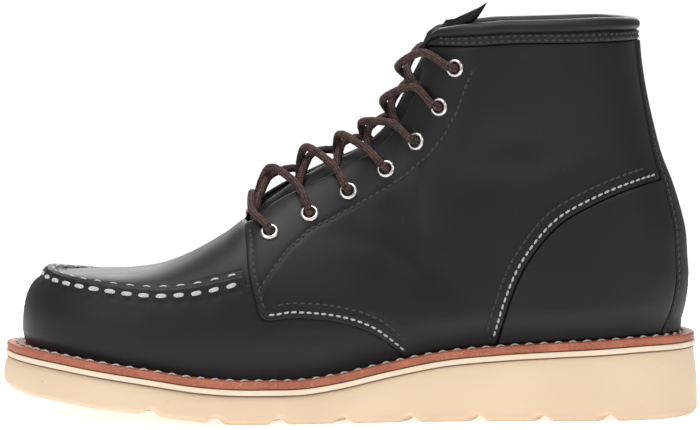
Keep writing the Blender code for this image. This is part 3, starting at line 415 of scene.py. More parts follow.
loop = outline_loop(LOOP_STEPS)
wall_down = np.linspace(0, 1, WALL_STEPS)
edge_turn = np.linspace(0, math.pi / 2, 7)[1:]
wall_inset = smooth_line(WALL_INSETS, wall_down) * SOLE_WALL_BULGE
edge_inset = BOTTOM_EDGE * (1 - np.cos(edge_turn))
sole_plan = inset_rows(loop, np.concatenate([wall_inset, edge_inset]))
sole_low = tread_height(sole_plan[:, :, 0], sole_plan[:, :, 1])
sole_high = welt_top(sole_plan[:, :, 0]) - WELT_THICKNESS - MIDSOLE_THICKNESS - 2 * FIT
wall_foot = sole_low[:, :WALL_STEPS] + BOTTOM_EDGE_HEIGHT
wall_z = sole_high[:, :WALL_STEPS] + (wall_foot - sole_high[:, :WALL_STEPS]) * wall_down
edge_z = sole_low[:, WALL_STEPS:] + BOTTOM_EDGE_HEIGHT * (1 - np.sin(edge_turn))
sole_wall = np.concatenate([sole_plan, np.concatenate([wall_z, edge_z], axis=1)[:, :, None]], axis=2)
tread = across(sole_wall[:, -1], 44)
tread[:, 1:-1, 2] = tread_height(tread[:, 1:-1, 0], tread[:, 1:-1, 1])
sole_top = across(sole_wall[:, 0], 2)

foam, tree, shader = new_finish("cream_foam_rubber", 0.72)
where = object_place(tree)
broad = noise_at(tree, where, 22.0, 2.0)
fine = noise_at(tree, where, 1400.0, 2.0)
pits = add_node(tree, "ShaderNodeTexVoronoi", {"Vector": where, "Scale": 260.0}).outputs["Distance"]
few = ramp(tree, noise_at(tree, where, 190.0, 1.0), [(0.60, (0, 0, 0)), (0.72, (1, 1, 1))])
base = ramp(tree, broad, [(0.25, (0.63, 0.475, 0.335)), (0.75, (0.70, 0.540, 0.385))])
speck = ramp(tree, pits, [(0.05, (1, 1, 1)), (0.14, (0, 0, 0))])
speck = mix_colour(tree, speck, (0.0, 0.0, 0.0), few)
tint = mix_colour(tree, remap(tree, speck, 0.0, 1.0, 0.0, 0.55), base, (0.36, 0.22, 0.10))
up = add_node(tree, "ShaderNodeSeparateXYZ", {"Vector": where}).outputs["Z"]
low_edge = remap(tree, up, 0.0, 0.004, 0.35, 0.0)
grain = bump(tree, fine, 0.00008, 0.5)
join_look(
    tree,
    shader,
    colour=mix_colour(tree, low_edge, tint, (0.52, 0.37, 0.23)),
    roughness=remap(tree, fine, 0.2, 0.8, 0.62, 0.82),
    normal=bump(tree, speck, -0.0002, 0.6, grain),
)
add_piece(
    "outsole_wedge",
    [(sole_wall, True, 0), (tread, False, 0), (sole_top, False, 0)],
    [foam],
    ["outsole"],
)


# Midsole: a thin strip of the same rubber, paler, between the wedge and the welt. The cement line
# under it shows as a dark hair line.
MIDSOLE_INSET = 0.35 * SOLE_WALL_BULGE
CEMENT_LINE = 0.00045
MIDSOLE_PROFILE = [
    # inset beyond the edge, drop below the strip's top, cement shows
    (0.0003, 0.0, 0.0),
    (0.0001, 0.0001, 0.0),
    (0.0, 0.0004, 0.0),
    (0.0, 0.0013, 0.0),
    (0.0001, MIDSOLE_THICKNESS - CEMENT_LINE, 0.0),
    (0.0004, MIDSOLE_THICKNESS - CEMENT_LINE + 0.0001, 1.0),
    (0.0004, MIDSOLE_THICKNESS + 0.0002, 1.0),
]
strip = np.array(MIDSOLE_PROFILE)
strip_plan = inset_rows(loop, MIDSOLE_INSET + strip[:, 0])
strip_top = welt_top(strip_plan[:, :, 0]) - WELT_THICKNESS - FIT
strip_edge = np.dstack([strip_plan, strip_top - strip[:, 1]])
strip_marks = np.broadcast_to(strip[:, 2], strip_top.shape)

pale_foam, tree, shader = new_finish("pale_foam_rubber", 0.68)
where = object_place(tree)
cement = add_node(tree, "ShaderNodeAttribute", attribute_name="cement").outputs["Fac"]
base = ramp(tree, noise_at(tree, where, 60.0), [(0.3, (0.70, 0.575, 0.425)), (0.7, (0.76, 0.635, 0.48))])
grain = bump(tree, noise_at(tree, where, 900.0), 0.00005, 0.4)
join_look(tree, shader, colour=mix_colour(tree, cement, base, (0.16, 0.10, 0.06)), normal=grain)
caps = [across(strip_edge[:, 0], 2), across(strip_edge[:, -1], 2)]
add_piece(
    "midsole_strip",
    [(strip_edge, True, 0), (caps[0], False, 0), (caps[1], False, 0)],
    [pale_foam],
    ["midsole"],
    {"cement": [strip_marks, np.zeros(caps[0].shape[:2]), np.ones(caps[1].shape[:2])]},
)


# Welt: a strip of rust brown leather, 3 mm thick, laid round the feather of the upper with its edge
# trimmed and dyed. One row of heavy light thread, lying in a shallow channel, sews it to the midsole.
FEATHER_INSET = 0.009
UPPER_WALL = 0.002
WELT_ROUND = 0.0007
WELT_INSET = 0.6 * SOLE_WALL_BULGE
WELT_STITCH_INSET = 0.0058
WELT_STITCH_PITCH = 0.0058
WELT_STITCH_LENGTH = 0.0047
WELT_STITCH_WIDTH = 0.0014
WELT_STITCH_SLANT = 0.28
WELT_STITCH_RISE = 0.55
CHANNEL_DEPTH = 0.0004
THREAD_SIDES = 6
THREAD_STEPS = 7
THREAD_SUNK = 0.35
STITCH_LOOK = 0.0008


def stitch_row(name, points, normals, pitch, length, width, finish, slant, rise):
    """Stitches set at even steps along a line, each a lens that dives into the leather at both ends.

    A stitch's radius is half its width times the root of 1 - t*t, and its middle rises by
    (1 - t*t), for t from -1 to 1 along it. Each is a tube of a few sides.
    """
    run = line_run(points)
    count = int(run[-1] / pitch)
    at = (np.arange(count) + 0.5) * run[-1] / count
    centre = read_line(at, run, points)
    out = unit(read_line(at, run, normals))
    ahead = read_line(at + STITCH_LOOK, run, points) - read_line(at - STITCH_LOOK, run, points)
    ahead = unit(ahead - out * np.sum(ahead * out, axis=1)[:, None])
    sideways = np.cross(out, ahead)
    lie = ahead * math.cos(slant) + sideways * math.sin(slant)
    beside = np.cross(out, lie)
    t = np.linspace(-1, 1, THREAD_STEPS)
    turn = np.arange(THREAD_SIDES) * 2 * math.pi / THREAD_SIDES
    radius = 0.5 * width * np.sqrt(np.clip(1 - t * t, 0.0, 1.0)) + 0.00002
    lift = width * (rise * (1 - t * t) - THREAD_SUNK)
    body = centre[:, None, :] + lie[:, None, :] * (0.5 * length * t)[None, :, None]
    body = body + out[:, None, :] * lift[None, :, None]
    wide = (radius[:, None] * np.cos(turn)[None, :])[None, :, :, None]
    tall = (0.75 * radius[:, None] * np.sin(turn)[None, :])[None, :, :, None]
    rings = body[:, :, None, :] + beside[:, None, None, :] * wide + out[:, None, None, :] * tall
    one = grid_faces(THREAD_SIDES, THREAD_STEPS, True)
    one = (one % THREAD_STEPS) * THREAD_SIDES + one // THREAD_STEPS
    size = THREAD_STEPS * THREAD_SIDES
    faces = (one[None, :, :] + (np.arange(count) * size)[:, None, None]).reshape(-1, 4).tolist()
    ends = np.stack([np.arange(THREAD_SIDES), size - 1 - np.arange(THREAD_SIDES)])
    for end in ends:
        faces += (end[None, :] + (np.arange(count) * size)[:, None]).tolist()
    mesh = bpy.data.meshes.new(name)
    mesh.from_pydata(rings.reshape(-1, 3).tolist(), [], faces)
    return finish_piece(name, mesh, [finish], merge=1e-7)


def thread_finish(name, colour, shade):
    """Twisted thread: two tones in fine slanting bands, the lighter its own colour and the darker painted
    shade in the grooves, where the bump sinks.
    """
    made, tree, shader = new_finish(name, 0.7, sheen=0.2)
    where = object_place(tree)
    twist = add_node(tree, "ShaderNodeTexWave", {"Vector": where, "Scale": 620.0, "Distortion": 2.0})
    twist.bands_direction = "DIAGONAL"
    bands = twist.outputs["Fac"]
    # Painted shade: the darker tone is laid in the grooves between the plies.
    thread_and_groove_shade = ramp(tree, bands, [(0.1, shade), (0.7, colour)])
    join_look(tree, shader, colour=thread_and_groove_shade, normal=bump(tree, bands, 0.0001, 0.6))
    return made


quarter_turn = np.linspace(0, math.pi / 2, 5)
round_in = WELT_ROUND * (1 - np.sin(quarter_turn))
round_down = WELT_ROUND * (1 - np.cos(quarter_turn))
channel = WELT_STITCH_INSET - WELT_INSET
welt_insets = np.concatenate(
    [
        [FEATHER_INSET + UPPER_WALL - WELT_INSET, channel + 0.0022],
        channel + np.array([0.0012, 0.0006, 0.0, -0.0006, -0.0012]),
        [WELT_ROUND],
        round_in[1:],
        [0.0, 0.0],
        round_in[::-1][1:],
        [FEATHER_INSET + UPPER_WALL - WELT_INSET] * 2,
    ]
)
welt_drops = np.concatenate(
    [
        [0.0, 0.0],
        np.array([0.0, 0.6, 1.0, 0.6, 0.0]) * CHANNEL_DEPTH,
        [0.0],
        round_down[1:],
        [0.4 * WELT_THICKNESS, 0.7 * WELT_THICKNESS],
        WELT_THICKNESS - round_down[::-1][1:],
        [WELT_THICKNESS, 0.0],
    ]
)
welt_plan = inset_rows(loop, WELT_INSET + welt_insets)
welt_grid = np.dstack([welt_plan, welt_top(welt_plan[:, :, 0]) - welt_drops])

rust, tree, shader = new_finish("rust_welt_leather", 0.6, coat=0.08, coat_roughness=0.4)
where = object_place(tree)
broad = noise_at(tree, where, 90.0, 4.0)
fibre = noise_at(tree, where, 1300.0, 3.0)
base = ramp(tree, broad, [(0.3, (0.27, 0.068, 0.033)), (0.7, (0.40, 0.115, 0.060))])
fleck = ramp(tree, fibre, [(0.56, (0, 0, 0)), (0.72, (1, 1, 1))])
tint = mix_colour(tree, remap(tree, fleck, 0.0, 1.0, 0.0, 0.42), base, (0.62, 0.30, 0.20))
join_look(tree, shader, colour=tint, normal=bump(tree, fibre, 0.00012, 0.7))
add_piece("welt_strip", [(welt_grid, True, 0)], [rust], ["welt"])

# The second colour is painted shade in the thread's twist grooves.
light_thread = thread_finish("light_thread", (0.52, 0.50, 0.47), (0.24, 0.225, 0.21))
channel_plan = inset_rows(loop, [WELT_STITCH_INSET])[:, 0]
channel_line = np.column_stack([channel_plan, welt_top(channel_plan[:, 0])])
channel_line = np.concatenate([channel_line, channel_line[:1]])
straight_up = np.tile([0.0, 0.0, 1.0], (len(channel_line), 1))
stitch_row(
    "welt_stitches",
    channel_line,
    straight_up,
    WELT_STITCH_PITCH,
    WELT_STITCH_LENGTH,
    WELT_STITCH_WIDTH,
    light_thread,
    WELT_STITCH_SLANT,
    WELT_STITCH_RISE,
)


# Footbed: a tan leather insole on the wedge, its step filling the welt ring, slightly dished by the
# foot's heel and ball, with its edge rounded over.
INSOLE_STEP = 0.0012
INSOLE_MARGIN = 0.0014
BED_ROUND = 0.0008
BED_DISH = 0.0006
bed_inset = FEATHER_INSET + UPPER_WALL + INSOLE_MARGIN
bed_steps = np.array([0.0, 0.0, 0.15, 0.5, 1.0]) * BED_ROUND
bed_drops = np.array([WELT_THICKNESS + INSOLE_STEP, BED_ROUND, 0.35 * BED_ROUND, 0.08 * BED_ROUND, 0.0])
bed_plan = inset_rows(loop, bed_inset + bed_steps)
bed_edge = np.dstack([bed_plan, welt_top(bed_plan[:, :, 0]) + INSOLE_STEP - bed_drops])
bed_top = across(bed_edge[:, -1], 24)
bed_share = np.linspace(-1, 1, 25)[None, :]
bed_top[:, :, 2] -= BED_DISH * (1 - bed_share ** 2) * ease((along(bed_top[:, :, 0]) - 0.02) / 0.2)
bed_under = across(bed_edge[:, 0], 2)

tan, tree, shader = new_finish("tan_footbed_leather", 0.62)
where = object_place(tree)
base = ramp(tree, noise_at(tree, where, 55.0, 5.0), [(0.3, (0.30, 0.165, 0.078)), (0.7, (0.44, 0.27, 0.145))])
pores = add_node(tree, "ShaderNodeTexVoronoi", {"Vector": where, "Scale": 900.0}).outputs["Distance"]
join_look(tree, shader, colour=base, normal=bump(tree, pores, 0.0001, 0.4))
add_piece(
    "footbed", [(bed_edge, True, 0), (bed_top, False, 0), (bed_under, False, 0)], [tan], ["insole"]
)


# Vamp and lining: the boot's body, 2 mm black smooth leather pulled over the last and open at the
# throat and collar, with its flesh side inside. The flat toe plug is sewn to the wall by a raised,
# puckered moc seam; the seam's heavy light thread shows on both faces of the ridge.
TOE_HEIGHT = 0.0575
INSTEP_HEIGHT = 0.078
SHAFT_HEIGHT = 0.1622
HEEL_INSET = 0.0095
HEEL_ROUND = 0.036
ANKLE_HALF_WIDTH = 0.0285
COLLAR_HALF_WIDTH = 0.0315
FACING_LIFT = 0.0048
LATERAL = -1
MEDIAL = 1
SIDES = {"lateral": LATERAL, "medial": MEDIAL}
LEVEL_HEIGHTS = [(-1, HEEL_STACK), (0, TOE_HEIGHT), (1, INSTEP_HEIGHT), (2, SHAFT_HEIGHT)]
RIDGE = [
    # along, level
    (0.132, 0.000),
    (0.188, 0.030),
    (0.228, 0.130),
    (0.265, 0.330),
    (0.293, 0.537),
    (0.321, 0.776),
    (0.348, 0.980),
    (0.372, 1.066),
    (0.408, 1.151),
    (0.464, 1.259),
    (0.528, 1.386),
    (0.572, 1.554),
    (0.587, 1.663),
    (0.600, 1.801),
    (0.618, 2.120),
    (0.640, 2.458),
    (0.711, 3.482),
    (1.000, 7.650),
]
SECTIONS = [
    # along, drop, up_power, side_power, lateral, medial, seam
    (0.132, 0.310, 2.3, 6.0, 0.372, 0.372, 0.80),
    (0.219, 0.370, 2.3, 4.0, 0.432, 0.420, 0.83),
    (0.293, 0.495, 2.0, 3.0, 0.452, 0.400, 0.84),
    (0.348, 0.630, 2.0, 2.5, 0.446, 0.386, 0.84),
    (0.430, 0.770, 2.0, 2.2, 0.416, 0.340, 0.84),
    (0.500, 0.850, 2.0, 2.2, 0.376, 0.312, 0.84),
    (0.553, 0.960, 2.0, 2.2, 0.352, 0.300, 0.84),
    (0.590, 1.300, 2.0, 2.2, 0.338, 0.296, 0.84),
    (0.620, 1.700, 2.0, 2.2, 0.330, 0.295, 0.84),
    (0.675, 1.800, 2.0, 2.2, 0.320, 0.297, 0.84),
    (0.800, 1.800, 2.0, 2.2, 0.308, 0.300, 0.84),
    (1.000, 1.800, 2.0, 2.2, 0.305, 0.300, 0.84),
]
TOE_SEAM = [
    # turn, share
    (0.0, 0.58),
    (0.5, 0.70),
    (1.0, 0.80),
]
RIDGE_ACROSS = [
    # along, across
    (0.000, 0.035),
    (0.132, 0.030),
    (0.237, 0.022),
    (0.348, 0.020),
    (0.553, 0.010),
    (0.700, 0.000),
    (1.000, 0.000),
]
TOP_LINE = [
    # along, level
    (0.348, 0.980),
    (0.357, 1.005),
    (0.373, 1.050),
    (0.408, 1.125),
    (0.464, 1.218),
    (0.528, 1.333),
    (0.571, 1.474),
    (0.586, 1.562),
    (0.599, 1.662),
    (0.610, 1.800),
    (0.620, 1.920),
    (0.629, 1.945),
    (0.657, 1.962),
    (0.710, 1.980),
    (0.796, 1.987),
    (0.860, 1.995),
    (0.906, 1.990),
]
COLLAR_CORNER_ROW = 10
BACK_LINE = [
    # share of the way from the toe tip to the heel feather, level
    (0.9985, -1.200),
    (1.0000, -0.896),
    (1.0070, -0.562),
    (1.0120, -0.083),
    (1.0100, 0.341),
    (1.0070, 0.854),
    (0.9980, 1.084),
    (0.9860, 1.205),
    (0.9740, 1.301),
    (0.9590, 1.476),
    (0.9480, 1.639),
    (0.9400, 1.807),
    (0.9370, 1.940),
    (0.9370, 2.300),
]
QUARTER_EDGE = [
    # along, level
    (0.340, 1.300),
    (0.350, 1.000),
    (0.353, 0.763),
    (0.357, 0.131),
    (0.366, -0.314),
    (0.376, -0.640),
    (0.419, -0.640),
    (0.482, -0.720),
    (0.510, -0.810),
    (0.537, -0.960),
    (0.556, -1.120),
    (0.572, -1.300),
    (0.585, -1.560),
]
FAN_COLUMNS = 40
FOREFOOT_COLUMNS = 74
FACING_COLUMNS = 54
SHAFT_COLUMNS = 56
WALL_ROWS = 30
BAND_ROWS = 22
PLUG_ROWS = 22
BAND_HALF = 0.0055
SEAM_RISE = 0.0019
TOE_CREST = 0.8
SETTLE = 0.014
LEAST_BULGE = 0.0012
HIDDEN_SINK = 0.0007
LOW_STEPS = 40
HIGH_STEPS = 120
MOC_PITCH = 0.0070
MOC_ROWS = [
    # name, distance from the seam, length, width, slant, rise
    ("outer", -0.0027, 0.00540, 0.00170, 0.10, 0.55),
    ("inner", 0.0016, 0.00432, 0.00119, 0.0, 0.50),
]
MOC_RELIEF = [
    # distance from the seam, half width, rise, its steady share, its puckered share
    (0.0002, 0.00045, -0.00042, 1.0, 0.0),
    (-0.0022, 0.0016, 0.00022, 0.0, 1.0),
    (-0.0052, 0.0014, -0.00028, 0.6, -0.4),
    (0.0031, 0.0010, -0.00030, 1.0, 0.0),
]
CREST_WALL_SIDE = 0.0031
CREST_TOP = 0.0006
CREST_PLUG_SIDE = 0.0014
FRONT = FAN_COLUMNS + FOREFOOT_COLUMNS


def height(level):
    """World z of a level on the upper, straight between the named heights and beyond them."""
    levels = np.array([row[0] for row in LEVEL_HEIGHTS], dtype=float)
    heights = np.array([row[1] for row in LEVEL_HEIGHTS])
    level = np.asarray(level, dtype=float)
    above = np.maximum(level - levels[-1], 0) * (heights[-1] - heights[-2])
    below = np.minimum(level - levels[0], 0) * (heights[1] - heights[0])
    return np.interp(level, levels, heights) + above + below


def table_line(rows, column, x):
    return smooth_line([(row[0], row[column]) for row in rows], along(x))


def ridge_across(x):
    return smooth_line(RIDGE_ACROSS, along(x)) * BALL_WIDTH


def facing_rise(x):
    """How much higher the medial facing stands beside the tongue."""
    return FACING_LIFT * ease((along(x) - 0.318) / 0.05) * (1 - 0.6 * ease((along(x) - 0.45) / 0.15))


def ridge_height(x, side):
    return height(smooth_line(RIDGE, along(x))) + facing_rise(x) * (np.asarray(side) > 0)


def widest(x, z, side):
    """Widest half width at a station, narrowing to the ankle and opening to the collar."""
    low = np.where(np.asarray(side) < 0, table_line(SECTIONS, 4, x), table_line(SECTIONS, 5, x)) * BALL_WIDTH
    ankle = height(1.2)
    narrowing = ease((z - height(-0.9)) / (ankle - height(-0.9))) * ease((along(x) - 0.30) / 0.20)
    opening = ease((z - ankle) / (height(2.0) - ankle))
    return low + (ANKLE_HALF_WIDTH - low) * narrowing + (COLLAR_HALF_WIDTH - ANKLE_HALF_WIDTH) * opening


def back_seam(z):
    """World x of the back seam at a height."""
    table = [(float(height(level)), reach * (SOLE_LENGTH - HEEL_INSET)) for reach, level in BACK_LINE]
    return smooth_line(table, z) - 0.5 * SOLE_LENGTH


def arch_share(drop, up_power, side_power):
    """Share of the widest half width at a drop below the ridge, both as shares."""
    return (1 - (1 - np.clip(drop, 0, 1)) ** up_power) ** (1 / side_power)


def ridge_share(x, z, side):
    """Share of the half width left by the arch under the ridge."""
    drop = (ridge_height(x, side) - z) / (table_line(SECTIONS, 1, x) * INSTEP_HEIGHT)
    return arch_share(drop, table_line(SECTIONS, 2, x), table_line(SECTIONS, 3, x))


def shell_half_width(x, z, side):
    """Half width of the upper from its ridge plane, at a place seen from the side."""
    back = arch_share((back_seam(z) - x) / HEEL_ROUND, 2.0, 2.1)
    return widest(x, z, side) * ridge_share(x, z, side) * back


def respace(points, shares):
    """Each column of points read again at the given shares of its own length."""
    steps = np.linalg.norm(np.diff(points, axis=1), axis=2)
    run = np.concatenate([np.zeros((len(points), 1)), np.cumsum(steps, axis=1)], axis=1)
    target = shares * run[:, -1:]
    below = np.clip((run[:, None, :] <= target[:, :, None]).sum(axis=2) - 1, 0, run.shape[1] - 2)
    start = np.take_along_axis(run, below, axis=1)
    end = np.take_along_axis(run, below + 1, axis=1)
    part = ((target - start) / np.maximum(end - start, 1e-12))[:, :, None]
    low = np.take_along_axis(points, below[:, :, None], axis=1)
    high = np.take_along_axis(points, below[:, :, None] + 1, axis=1)
    return low + (high - low) * part


def along_line(points, shares):
    """Points at the given shares of one polyline's length."""
    return respace(np.asarray(points)[None], np.asarray(shares)[None])[0]


feather_loop = inset_rows(loop, [FEATHER_INSET])[:, 0]
FEATHER = {
    LATERAL: feather_loop[: LOOP_STEPS + 1],
    MEDIAL: np.concatenate([feather_loop[:1], feather_loop[LOOP_STEPS:][::-1]]),
}


def top_line(side):
    """Top line of one side seen from the side, from the throat to the back seam."""
    x = place([row[0] for row in TOP_LINE])
    z = height([row[1] for row in TOP_LINE])
    if side == MEDIAL:
        z = z + facing_rise(x) * (1 - ease((z - height(1.55)) / (height(1.88) - height(1.55))))
    x[-1] = back_seam(z[-1])
    return np.column_stack([x, z])


def upper_side(side):
    """Columns of one side from feather to top line, toe tip to back, and each row's reach from the seam.

    Ahead of the throat a column climbs a superellipse arch from the feather over the waist to the
    ridge, as a fan about the toe's pole and then square across. Behind the throat it climbs the
    closed shaft form to the top line.
    """
    feather = FEATHER[side]
    pole = np.array([place(RIDGE[0][0]), float(ridge_across(place(RIDGE[0][0])))])
    throat_x = place(TOP_LINE[0][0])
    order = np.arange(len(feather))
    at_pole, at_throat, at_corner = np.interp([pole[0], throat_x, place(0.70)], feather[:, 0], order)
    toward_back = 1 - (1 - np.linspace(0, 1, SHAFT_COLUMNS + 1)) ** 1.35
    stops = np.concatenate(
        [
            np.linspace(0, at_pole, FAN_COLUMNS + 1),
            np.linspace(at_pole, at_throat, FOREFOOT_COLUMNS + 1)[1:],
            np.linspace(at_throat, at_corner, FACING_COLUMNS + 1)[1:],
            at_corner + (len(feather) - 1 - at_corner) * toward_back[1:],
        ]
    )
    bases = read_line(stops, order, feather)
    front = bases[: FRONT + 1]
    centre = np.column_stack([front[:, 0], ridge_across(front[:, 0])])
    centre[:FAN_COLUMNS] = pole
    reach = np.linalg.norm(centre - front, axis=1)[:, None]
    station = np.maximum(front[:, 0], centre[:, 0])[:, None]
    in_arch = ease((station - pole[0]) / 0.02)
    top = ridge_height(station, side)
    foot = welt_top(front[:, :1]) + FIT
    waist = np.maximum(top - table_line(SECTIONS, 1, station) * INSTEP_HEIGHT, foot + 0.2 * (top - foot))
    up_power = table_line(SECTIONS, 2, station)
    side_power = table_line(SECTIONS, 3, station)
    low_turn = np.linspace(0, 1, LOW_STEPS)[None, :]
    low_z = foot + (waist - foot) * low_turn
    turn = np.linspace(0, math.pi / 2, HIGH_STEPS)[None, 1:]
    high_z = waist + (top - waist) * np.sin(turn) ** (2 / up_power)
    least = reach + LEAST_BULGE
    broad_low = least + (widest(station, low_z, side) - least) * in_arch
    broad_high = least + (widest(station, high_z, side) - least) * in_arch
    bulged = reach + (broad_low - reach) * np.sin(low_turn * math.pi / 2)
    settled = reach + (broad_low - reach) * ease((low_z - foot) / SETTLE)
    toward_throat = ease((front[:, :1] - throat_x + 0.035) / 0.035)
    low_half = bulged + (settled - bulged) * toward_throat
    high_half = broad_high * np.cos(turn).clip(0) ** (2 / side_power)
    shares = (np.concatenate([low_half, high_half], axis=1) / reach)[:, :, None]
    plan = centre[:, None, :] + (front - centre)[:, None, :] * shares
    points = np.dstack([plan, np.concatenate([low_z, high_z], axis=1)])
    run = np.cumsum(np.linalg.norm(np.diff(points, axis=1), axis=2), axis=1)
    share_at_seam = table_line(SECTIONS, 6, front[:, 0])
    fan = np.arange(FAN_COLUMNS) / FAN_COLUMNS
    share_at_seam[:FAN_COLUMNS] = smooth_line(TOE_SEAM, fan)
    seam_turn = np.arccos(share_at_seam ** (side_power[:, 0] / 2))
    seam_row = LOW_STEPS - 1 + seam_turn / (math.pi / 2) * (HIGH_STEPS - 1)
    before = np.floor(seam_row).astype(int)
    run_at = np.concatenate([np.zeros((len(run), 1)), run], axis=1)
    picks = np.arange(len(run_at))
    step = run_at[picks, before + 1] - run_at[picks, before]
    seam_run = run_at[picks, before] + (seam_row - before) * step
    length = run_at[:, -1]
    seam = (seam_run / length)[:, None]
    band = (BAND_HALF / length)[:, None]
    rows = [
        (seam - band) * np.linspace(0, 1, WALL_ROWS, endpoint=False),
        seam + band * np.linspace(-1, 1, BAND_ROWS, endpoint=False),
        seam + band + (1 - seam - band) * np.linspace(0, 1, PLUG_ROWS),
    ]
    front_shares = np.concatenate(rows, axis=1)
    front_grid = respace(points, front_shares)
    front_reach = (front_shares - seam) * length[:, None]
    level_up = ease((front_shares - seam) / (1 - seam))
    front_grid[:, :, 2] -= level_up * (side * 0.5 * facing_rise(station)) * (station > pole[0])

    rear = bases[FRONT + 1 :].copy()
    line = top_line(side)
    facing = along_line(line[: COLLAR_CORNER_ROW + 1], np.linspace(0, 1, FACING_COLUMNS + 1))
    collar = along_line(line[COLLAR_CORNER_ROW:], 1 - (1 - toward_back) ** 1.35)
    tops = np.concatenate([facing[1:], collar[1:]])
    back_base = float(back_seam(float(welt_top(bases[-1, 0])) + FIT))
    share = ((rear[:, 0] - throat_x) / (rear[-1, 0] - throat_x))[:, None]
    rear[-1, 0] = back_base
    t = np.linspace(0, 1, 90)[None, :]
    foot = welt_top(rear[:, :1]) + FIT
    z = foot + (tops[:, 1:] - foot) * t
    lean = back_seam(foot) + (back_seam(SHAFT_HEIGHT) - back_seam(foot)) * t
    x = rear[:, :1] + (tops[:, :1] - rear[:, :1]) * t + (back_seam(z) - lean) * share ** 3
    x = np.minimum(x, back_seam(z))
    y = ridge_across(x) + side * shell_half_width(x, z, side)
    y = rear[:, 1:] + (y - rear[:, 1:]) * ease((z - foot) / SETTLE)
    blend = ease(np.arange(1, len(rear) + 1) / FACING_COLUMNS)[:, None]
    even = np.linspace(0, 1, front_shares.shape[1])[None, :]
    rear_shares = front_shares[-1:] + (even - front_shares[-1:]) * blend
    rear_grid = respace(np.dstack([x, y, z]), rear_shares)
    rear_reach = np.repeat(front_reach[-1:], len(rear), axis=0)
    return np.concatenate([front_grid, rear_grid]), np.concatenate([front_reach, rear_reach])


lateral_grid, lateral_reach = upper_side(LATERAL)
medial_grid, medial_reach = upper_side(MEDIAL)
for shared in (0, -1):
    lateral_grid[shared] = medial_grid[shared] = 0.5 * (lateral_grid[shared] + medial_grid[shared])
ridge_rows = 0.5 * (lateral_grid[: FRONT + 1, -1] + medial_grid[: FRONT + 1, -1])
lateral_grid[: FRONT + 1, -1] = medial_grid[: FRONT + 1, -1] = ridge_rows
FORM = np.concatenate([lateral_grid, medial_grid[-2:0:-1]])
REACH = np.concatenate([lateral_reach, medial_reach[-2:0:-1]])
COLUMNS = len(FORM)
MIRROR = (COLUMNS - np.arange(COLUMNS)) % COLUMNS
FROM_TOE = np.minimum(np.arange(COLUMNS), MIRROR)


def ring_normals(grid):
    """Outward unit normals of the ring of columns; the ridge row sees its mirror column beyond it."""
    around = np.roll(grid, -1, axis=0) - np.roll(grid, 1, axis=0)
    up = np.gradient(grid, axis=1)
    closed = FROM_TOE <= FRONT
    up[closed, -1] = (grid[MIRROR, -2] - grid[:, -2])[closed]
    normal = unit(np.cross(around, up))
    ridge = normal[:, -1] + normal[MIRROR, -1]
    normal[closed, -1] = ridge[closed]
    pole = FROM_TOE <= FAN_COLUMNS
    normal[pole, -1] = normal[pole, -2].mean(axis=0)
    normal[:, 0, 2] = 0.0
    return unit(normal)


def edge_reach(line, across_at, up_at):
    """Signed distance from a polyline, plus on its left, and how far along it the nearest place is."""
    start = line[:-1]
    step = line[1:] - start
    length = np.maximum(np.linalg.norm(step, axis=1), 1e-12)
    place_at = np.stack([across_at, up_at], axis=-1).reshape(-1, 1, 2)
    t = np.clip(((place_at - start) * step).sum(axis=2) / length ** 2, 0, 1)
    away = place_at - (start + step * t[:, :, None])
    gap = np.linalg.norm(away, axis=2)
    hit = gap.argmin(axis=1)
    picks = np.arange(len(hit))
    side = np.sign(step[hit, 0] * away[picks, hit, 1] - step[hit, 1] * away[picks, hit, 0])
    run = np.concatenate([[0], np.cumsum(length)])[hit] + t[picks, hit] * length[hit]
    shape = np.shape(across_at)
    return (gap[picks, hit] * side).reshape(shape), run.reshape(shape)


def smooth_edge(rows, steps=8):
    """World x and z of an edge table, with smooth steps between its rows."""
    table = np.column_stack([place([row[0] for row in rows]), height([row[1] for row in rows])])
    run = line_run(table)
    at = np.interp(np.arange((len(rows) - 1) * steps + 1) / steps, np.arange(len(rows)), run)
    return np.column_stack([smooth_line(np.column_stack([run, table[:, i]]), at) for i in range(2)])


CREASE_MEDIAL_TURN = 9
CREASE_MEDIAL_SHIFT = 0.004
CREASES = [
    # x, z, length, angle in degrees, half width, depth: soft folds where the ankle bends
    (0.012, 0.066, 0.046, -22, 0.0050, 0.00050),
    (0.020, 0.077, 0.040, -14, 0.0045, 0.00040),
    (0.034, 0.058, 0.034, -38, 0.0060, 0.00045),
    (0.052, 0.092, 0.040, 8, 0.0070, 0.00045),
    (0.062, 0.108, 0.036, 14, 0.0065, 0.00035),
    (0.085, 0.098, 0.030, 30, 0.0060, 0.00030),
    (-0.058, 0.047, 0.030, 62, 0.0050, 0.00025),
    (-0.070, 0.040, 0.026, 75, 0.0055, 0.00022),
    (-0.030, 0.042, 0.030, 40, 0.0060, 0.00030),
]


def crease_depth(x, z, side):
    """Soft troughs: a Gaussian across each fold and a longer one along it, a ridge beside each."""
    depth = np.zeros(np.broadcast(x, z).shape)
    for cx, cz, length, angle, half, deep in CREASES:
        lean = math.radians(angle + (CREASE_MEDIAL_TURN if side > 0 else 0))
        off_x = x - cx - (CREASE_MEDIAL_SHIFT if side > 0 else 0)
        lengthwise = off_x * math.cos(lean) + (z - cz) * math.sin(lean)
        crosswise = (z - cz) * math.cos(lean) - off_x * math.sin(lean)
        bow = crosswise - 0.10 * length * np.cos(lengthwise / length * math.pi)
        trough = np.exp(-((bow / half) ** 2)) - 0.45 * np.exp(-(((bow - 1.9 * half) / half) ** 2))
        depth += deep * trough * np.exp(-((2 * lengthwise / length) ** 2))
    return depth


def close_ridge(grid):
    """Brings both sides' ridge rows together, and the fan's columns to one pole."""
    mean = 0.5 * (grid[:, -1] + grid[MIRROR, -1])
    grid[FROM_TOE <= FRONT, -1] = mean[FROM_TOE <= FRONT]
    grid[FROM_TOE <= FAN_COLUMNS, -1] = grid[FROM_TOE <= FAN_COLUMNS, -1].mean(axis=0)
    return grid


